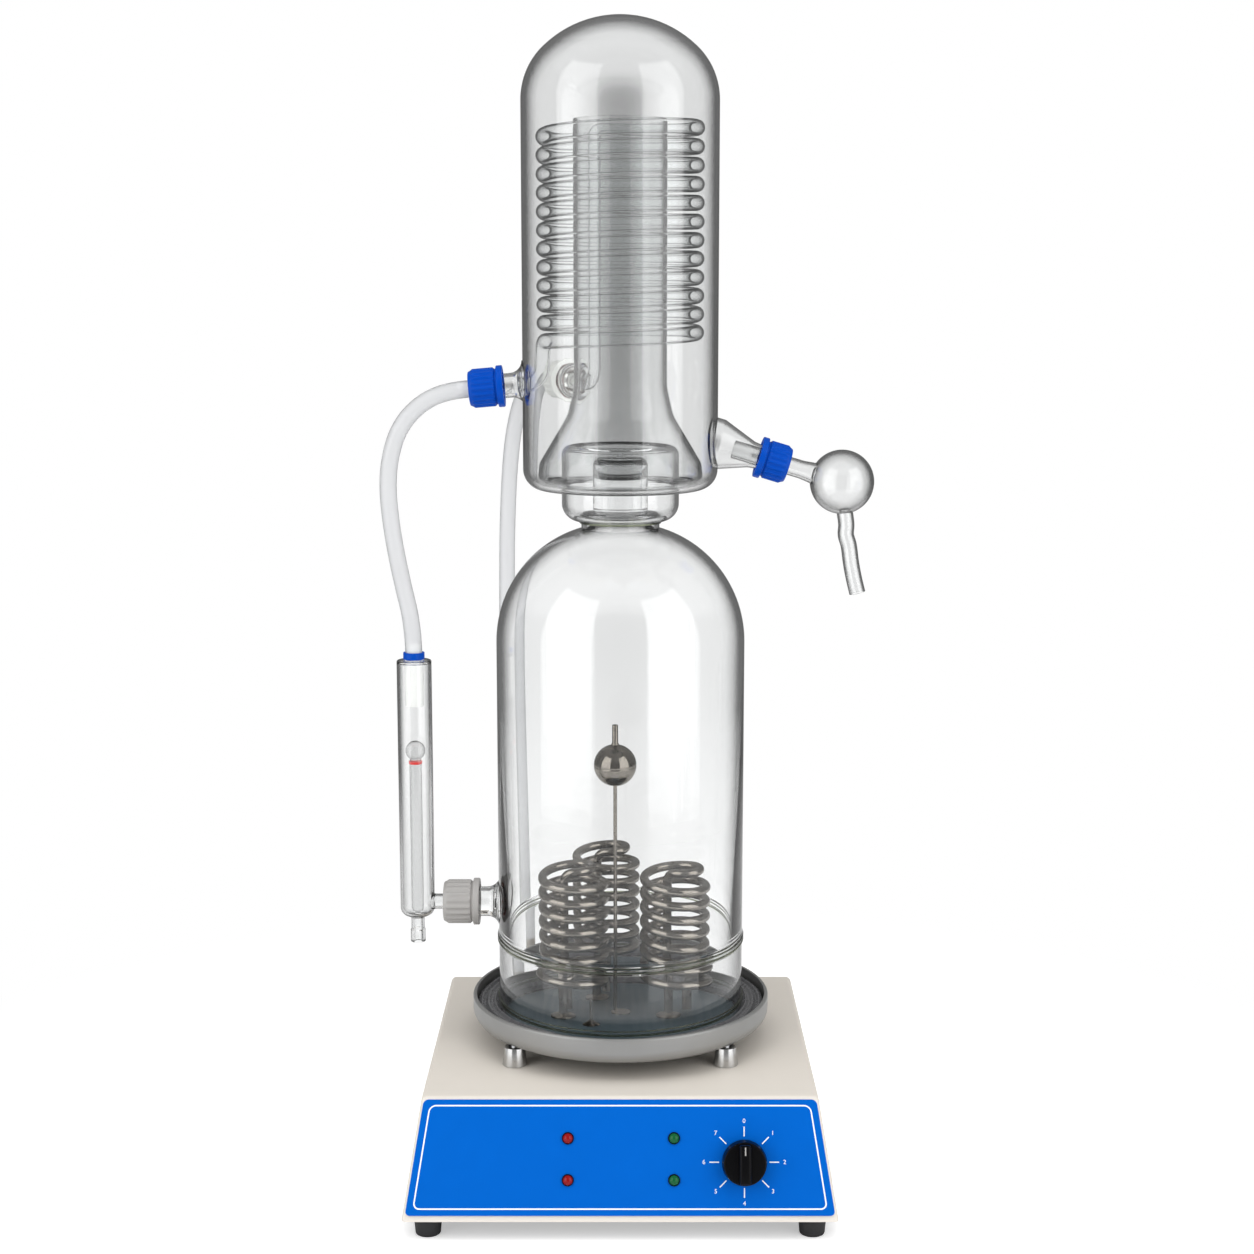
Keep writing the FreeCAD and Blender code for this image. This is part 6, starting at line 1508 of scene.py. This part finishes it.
@dataclass
class Hoses:
    """The two free hoses."""

    radius: float = 5.5
    return_route: tuple[tuple[float, float, float], ...] = (
        (-96.2, 0.0, 510.6), (-109.1, 0.0, 509.5), (-124.8, 0.0, 502.9), (-137.2, 0.0, 491.3),
        (-144.9, 0.0, 476.1), (-149.1, 0.0, 452.5), (-146.8, 0.0, 422.6), (-141.0, 0.0, 389.6),
        (-133.6, 0.0, 358.0), (-133.6, 0.0, 336.8))
    supply_route: tuple[tuple[float, float, float], ...] = (
        (-48.2, 83.4, 513.6), (-57.7, 99.87, 513.6), (-66.3, 114.7, 504.4), (-72.6, 125.6, 486.6),
        (-77.2, 132.4, 460.0), (-80.0, 134.4, 414.0), (-80.6, 131.0, 362.0), (-80.2, 124.6, 308.0),
        (-78.8, 117.0, 254.0), (-77.2, 109.4, 200.0), (-76.0, 101.0, 144.0), (-76.0, 101.0, 88.6))

    def build(self) -> None:
        """Build both hoses."""
        self.hose("return_hose", self.return_route, 0.204)
        self.hose("supply_hose", self.supply_route, 0.460)

    def hose(self, name: str, route: tuple[tuple[float, float, float], ...], length: float) -> None:
        """Build one hose along its route.

        Args:
            name: The node that it replaces.
            route: The control points.
            length: The hose's length in metres; not used.
        """
        curve = bpy.data.curves.new(name + "_tube", "CURVE")
        curve.dimensions = "3D"
        spline = curve.splines.new("NURBS")
        spline.points.add(len(route) - 1)
        for point, spot in zip(spline.points, route):
            point.co = (spot[0] * MM, spot[1] * MM, spot[2] * MM, 1.0)
        spline.order_u = 3
        spline.use_endpoint_u = True
        spline.resolution_u = 10
        curve.bevel_depth = self.radius * MM
        curve.bevel_resolution = 6
        curve.use_fill_caps = True
        hose = shown(name + "_tube", curve)
        dress(hose, "hose_silicone", name)


class Fittings:
    """The pieces that keep their own form and only get a finish."""

    finishes: dict[str, tuple[str, ...]] = {
        "cream_paint": ("rear_panel",),
        "zinc_sheet": ("bottom_cover",),
        "steel_screws": ("cover_screws", "tray_screws", "selector_shaft", "selector_nut"),
        "black_plastic": ("selector_switch", "water_valve", "mains_gland"),
        "grey_plastic": ("heater_relay",),
        "white_plastic": ("terminal_block", "return_nozzle", "supply_nozzle"),
        "brass_fitting": ("tap_water_nozzle", "coolant_outlet_nozzle"),
        "nickel": ("float_guide", "level_probe"),
        "seal_rubber": ("return_cap_seal", "supply_cap_seal", "outlet_cap_seal",
                        "level_cap_seal"),
    }

    def __init__(self, nodes: dict[str, bpy.types.Object]) -> None:
        """Keep the frame's nodes."""
        self.nodes = nodes

    def build(self) -> None:
        """Give each piece its finish."""
        for finish, names in self.finishes.items():
            for name in names:
                materials = self.nodes[name].data.materials
                materials.clear()
                materials.append(STOCK.get(finish))
                LOG.info("%s in %s", name, finish)


@dataclass
class Studio:
    """The floor, the lights, the surroundings and the camera.

    Args:
        white: Brightness that the eye sees behind the object.
        panel: Brightness of the two light panels that gloss sees.
        fill: Brightness of the even light on matt surfaces.
        floor_glow: The floor's own light, as the eye sees it.
        shadow_reach: Distance in metres at which the floor's shadow has faded.
        panel_foot: Distance in metres from which mirrored rays go through the floor.
        bounces: How often a ray may turn.
        lens: The camera's focal length in millimetres.
        sensor: The camera's sensor width in millimetres.
        eye: Where the camera stands, in metres.
        tilt: The camera's angle in degrees, where 90 is level.
        softboxes: Each lamp's name, place, width, height, power and the height that it faces.
        gloss_tones: Places between the lowest and the highest direction, and what gloss sees.
        panel_edges: Start and end of the panels' inner and outer edges, as angles, and of the
            upper one, as a height.
    """

    white: float = 1.0
    panel: float = 2.1
    fill: float = 0.34
    floor_glow: float = 0.42
    shadow_reach: float = 0.6
    panel_foot: float = 0.8
    bounces: int = 28
    lens: float = 60.78
    sensor: float = 36.0
    eye: tuple[float, float, float] = (0.00424, -1.350, 0.5695)
    tilt: float = 81.087
    softboxes: tuple[tuple[str, tuple[float, float, float], float, float, float, float], ...] = (
        ("left_softbox", (-1.06, -0.80, 1.02), 1.36, 2.1, 19.0, 0.9),
        ("right_softbox", (1.06, -0.80, 1.02), 1.36, 2.1, 19.0, 0.9),
        ("top_softbox", (0.0, -0.5, 2.2), 1.6, 1.6, 16.0, 0.38),
    )
    gloss_tones: tuple[tuple[float, float], ...] = (
        (0.0, 0.45), (0.46, 0.2), (0.66, 0.22), (1.0, 0.4))
    panel_edges: tuple[tuple[float, float], ...] = ((0.44, 0.47), (1.38, 1.35), (0.76, 0.72))

    def build(self) -> None:
        """Build the studio."""
        self.camera()
        self.surroundings()
        self.floor()
        for softbox in self.softboxes:
            self.light(*softbox)
        scene = bpy.context.scene
        scene.view_settings.view_transform = "Standard"
        scene.cycles.max_bounces = self.bounces
        scene.cycles.transmission_bounces = self.bounces
        scene.cycles.transparent_max_bounces = self.bounces
        scene.cycles.caustics_refractive = False
        scene.cycles.caustics_reflective = False

    def camera(self) -> None:
        """Set the camera at the photograph's viewing angle."""
        data = bpy.data.cameras.new("view")
        data.lens = self.lens
        data.sensor_width = self.sensor
        camera = shown("view", data)
        camera.location = self.eye
        camera.rotation_euler = (math.radians(self.tilt), 0, 0)
        bpy.context.scene.camera = camera

    def surroundings(self) -> None:
        """Make the world white to the eye, darker at the sides for gloss, and even as light."""
        world = bpy.data.worlds.new("studio")
        bpy.context.scene.world = world
        tree = Tree(world)
        tree.nodes.clear()
        rays = tree.add("LightPath")
        seen, soft = [tree.add("Background", {"Color": (1, 1, 1, 1), "Strength": strength})
                      for strength in (self.white, self.fill)]
        place = tree.add("TexCoord")
        split = tree.add("SeparateXYZ", {"Vector": place.outputs["Generated"]})
        tones = tree.ramp(tree.span(split.outputs["Z"], -1.0, 1.0),
                          [(height, (painted_shade,) * 3) for height, painted_shade in self.gloss_tones])
        panels = tree.add("Mix", {"Factor": self.panel_mask(tree, split), "A": tones,
                                  "B": (self.panel, self.panel, self.panel, 1)}, data_type="RGBA")
        gloss = tree.add("Background", {"Color": panels.outputs["Result"]})
        mirrored = tree.math("SUBTRACT", rays.outputs["Glossy Depth"],
                             rays.outputs["Is Diffuse Ray"], clamp=True)
        light = tree.blend(mirrored, soft, gloss)
        whole = tree.blend(self.straight(tree, rays), light, seen)
        tree.add("OutputWorld", {"Surface": whole.outputs["Shader"]})

    def straight(self, tree: Tree, rays: bpy.types.Node) -> bpy.types.NodeSocket:
        """Return 1 for the eye's own rays, through glass too, and 0 once they are mirrored."""
        either = tree.math("MAXIMUM", rays.outputs["Is Camera Ray"],
                           rays.outputs["Is Transmission Ray"])
        return tree.math("SUBTRACT", either, rays.outputs["Glossy Depth"], clamp=True)

    def panel_mask(self, tree: Tree, split: bpy.types.Node) -> bpy.types.NodeSocket:
        """Return 1 in the directions where gloss sees one of the two upright light panels."""
        angle = tree.math("ARCTAN2", tree.math("ABSOLUTE", split.outputs["X"]),
                          tree.math("MULTIPLY", split.outputs["Y"], -1.0))
        inner, outer, upper = [tree.span(value, first, last) for value, (first, last) in zip(
            (angle, angle, split.outputs["Z"]), self.panel_edges)]
        return tree.math("MULTIPLY", tree.math("MULTIPLY", inner, outer), upper)

    def floor(self) -> None:
        """Lay the pale floor, which keeps the soft shadow and lets mirrored rays out far away."""
        shape = Shape("floor")
        bmesh.ops.create_grid(shape.bm, x_segments=1, y_segments=1, size=6000.0)
        floor = shape.place(moved(z=-0.05)).done()
        material = bpy.data.materials.new("floor_paper")
        tree = Tree(material)
        rays = tree.add("LightPath")
        eye = self.straight(tree, rays)
        shader = tree.nodes["Principled BSDF"]
        tree.feed(shader, {"Base Color": (0.90, 0.90, 0.90, 1), "Roughness": 0.9,
                           "Specular IOR Level": 0.0, "Emission Color": (1, 1, 1, 1),
                           "Emission Strength": tree.math("MULTIPLY", eye, self.floor_glow)})
        place = tree.add("TexCoord")
        reach = tree.add("VectorMath", {0: place.outputs["Object"]}, operation="LENGTH")
        distance = reach.outputs["Value"]
        fade = tree.span(distance, self.shadow_reach * 0.4, self.shadow_reach, course="SMOOTHSTEP")
        near = tree.blend(tree.math("MULTIPLY", fade, eye), shader, tree.add("Emission"))
        far = tree.span(distance, self.panel_foot, self.panel_foot * 1.6)
        past = tree.math("MULTIPLY", far, rays.outputs["Glossy Depth"], clamp=True)
        whole = tree.blend(past, near, tree.add("BsdfTransparent"))
        tree.feed(tree.nodes["Material Output"], {"Surface": whole.outputs["Shader"]})
        floor.data.materials.append(material)

    def light(self, name: str, spot: tuple[float, float, float], width: float, height: float,
              energy: float, aim: float) -> None:
        """Hang a softbox that faces the object's axis; gloss sees the world's panels in its stead.

        Args:
            name: The light's name.
            spot: Where it hangs, in metres.
            width: Its width in metres.
            height: Its height in metres.
            energy: Its power in watts.
            aim: Height on the axis that it faces, in metres.
        """
        data = bpy.data.lights.new(name, "AREA")
        data.shape = "RECTANGLE"
        data.size = width
        data.size_y = height
        data.energy = energy
        lamp = shown(name, data)
        lamp.location = spot
        lamp.visible_camera = False
        lamp.visible_glossy = False
        lamp.visible_transmission = False
        heading = Vector((0, 0, aim)) - Vector(spot)
        lamp.rotation_euler = heading.to_track_quat("-Z", "Y").to_euler()


def main() -> None:
    """Build the scene."""
    logging.basicConfig(level=logging.INFO)
    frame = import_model()
    Studio().build()
    Cabinet().build()
    Hearth().build()
    Boiler().build()
    Condenser().build()
    ScrewCaps().build()
    Delivery().build()
    LevelTube().build()
    Hoses().build()
    Fittings(frame["nodes"]).build()
    bpy.context.view_layer.update()


if __name__ == "__main__":
    main()
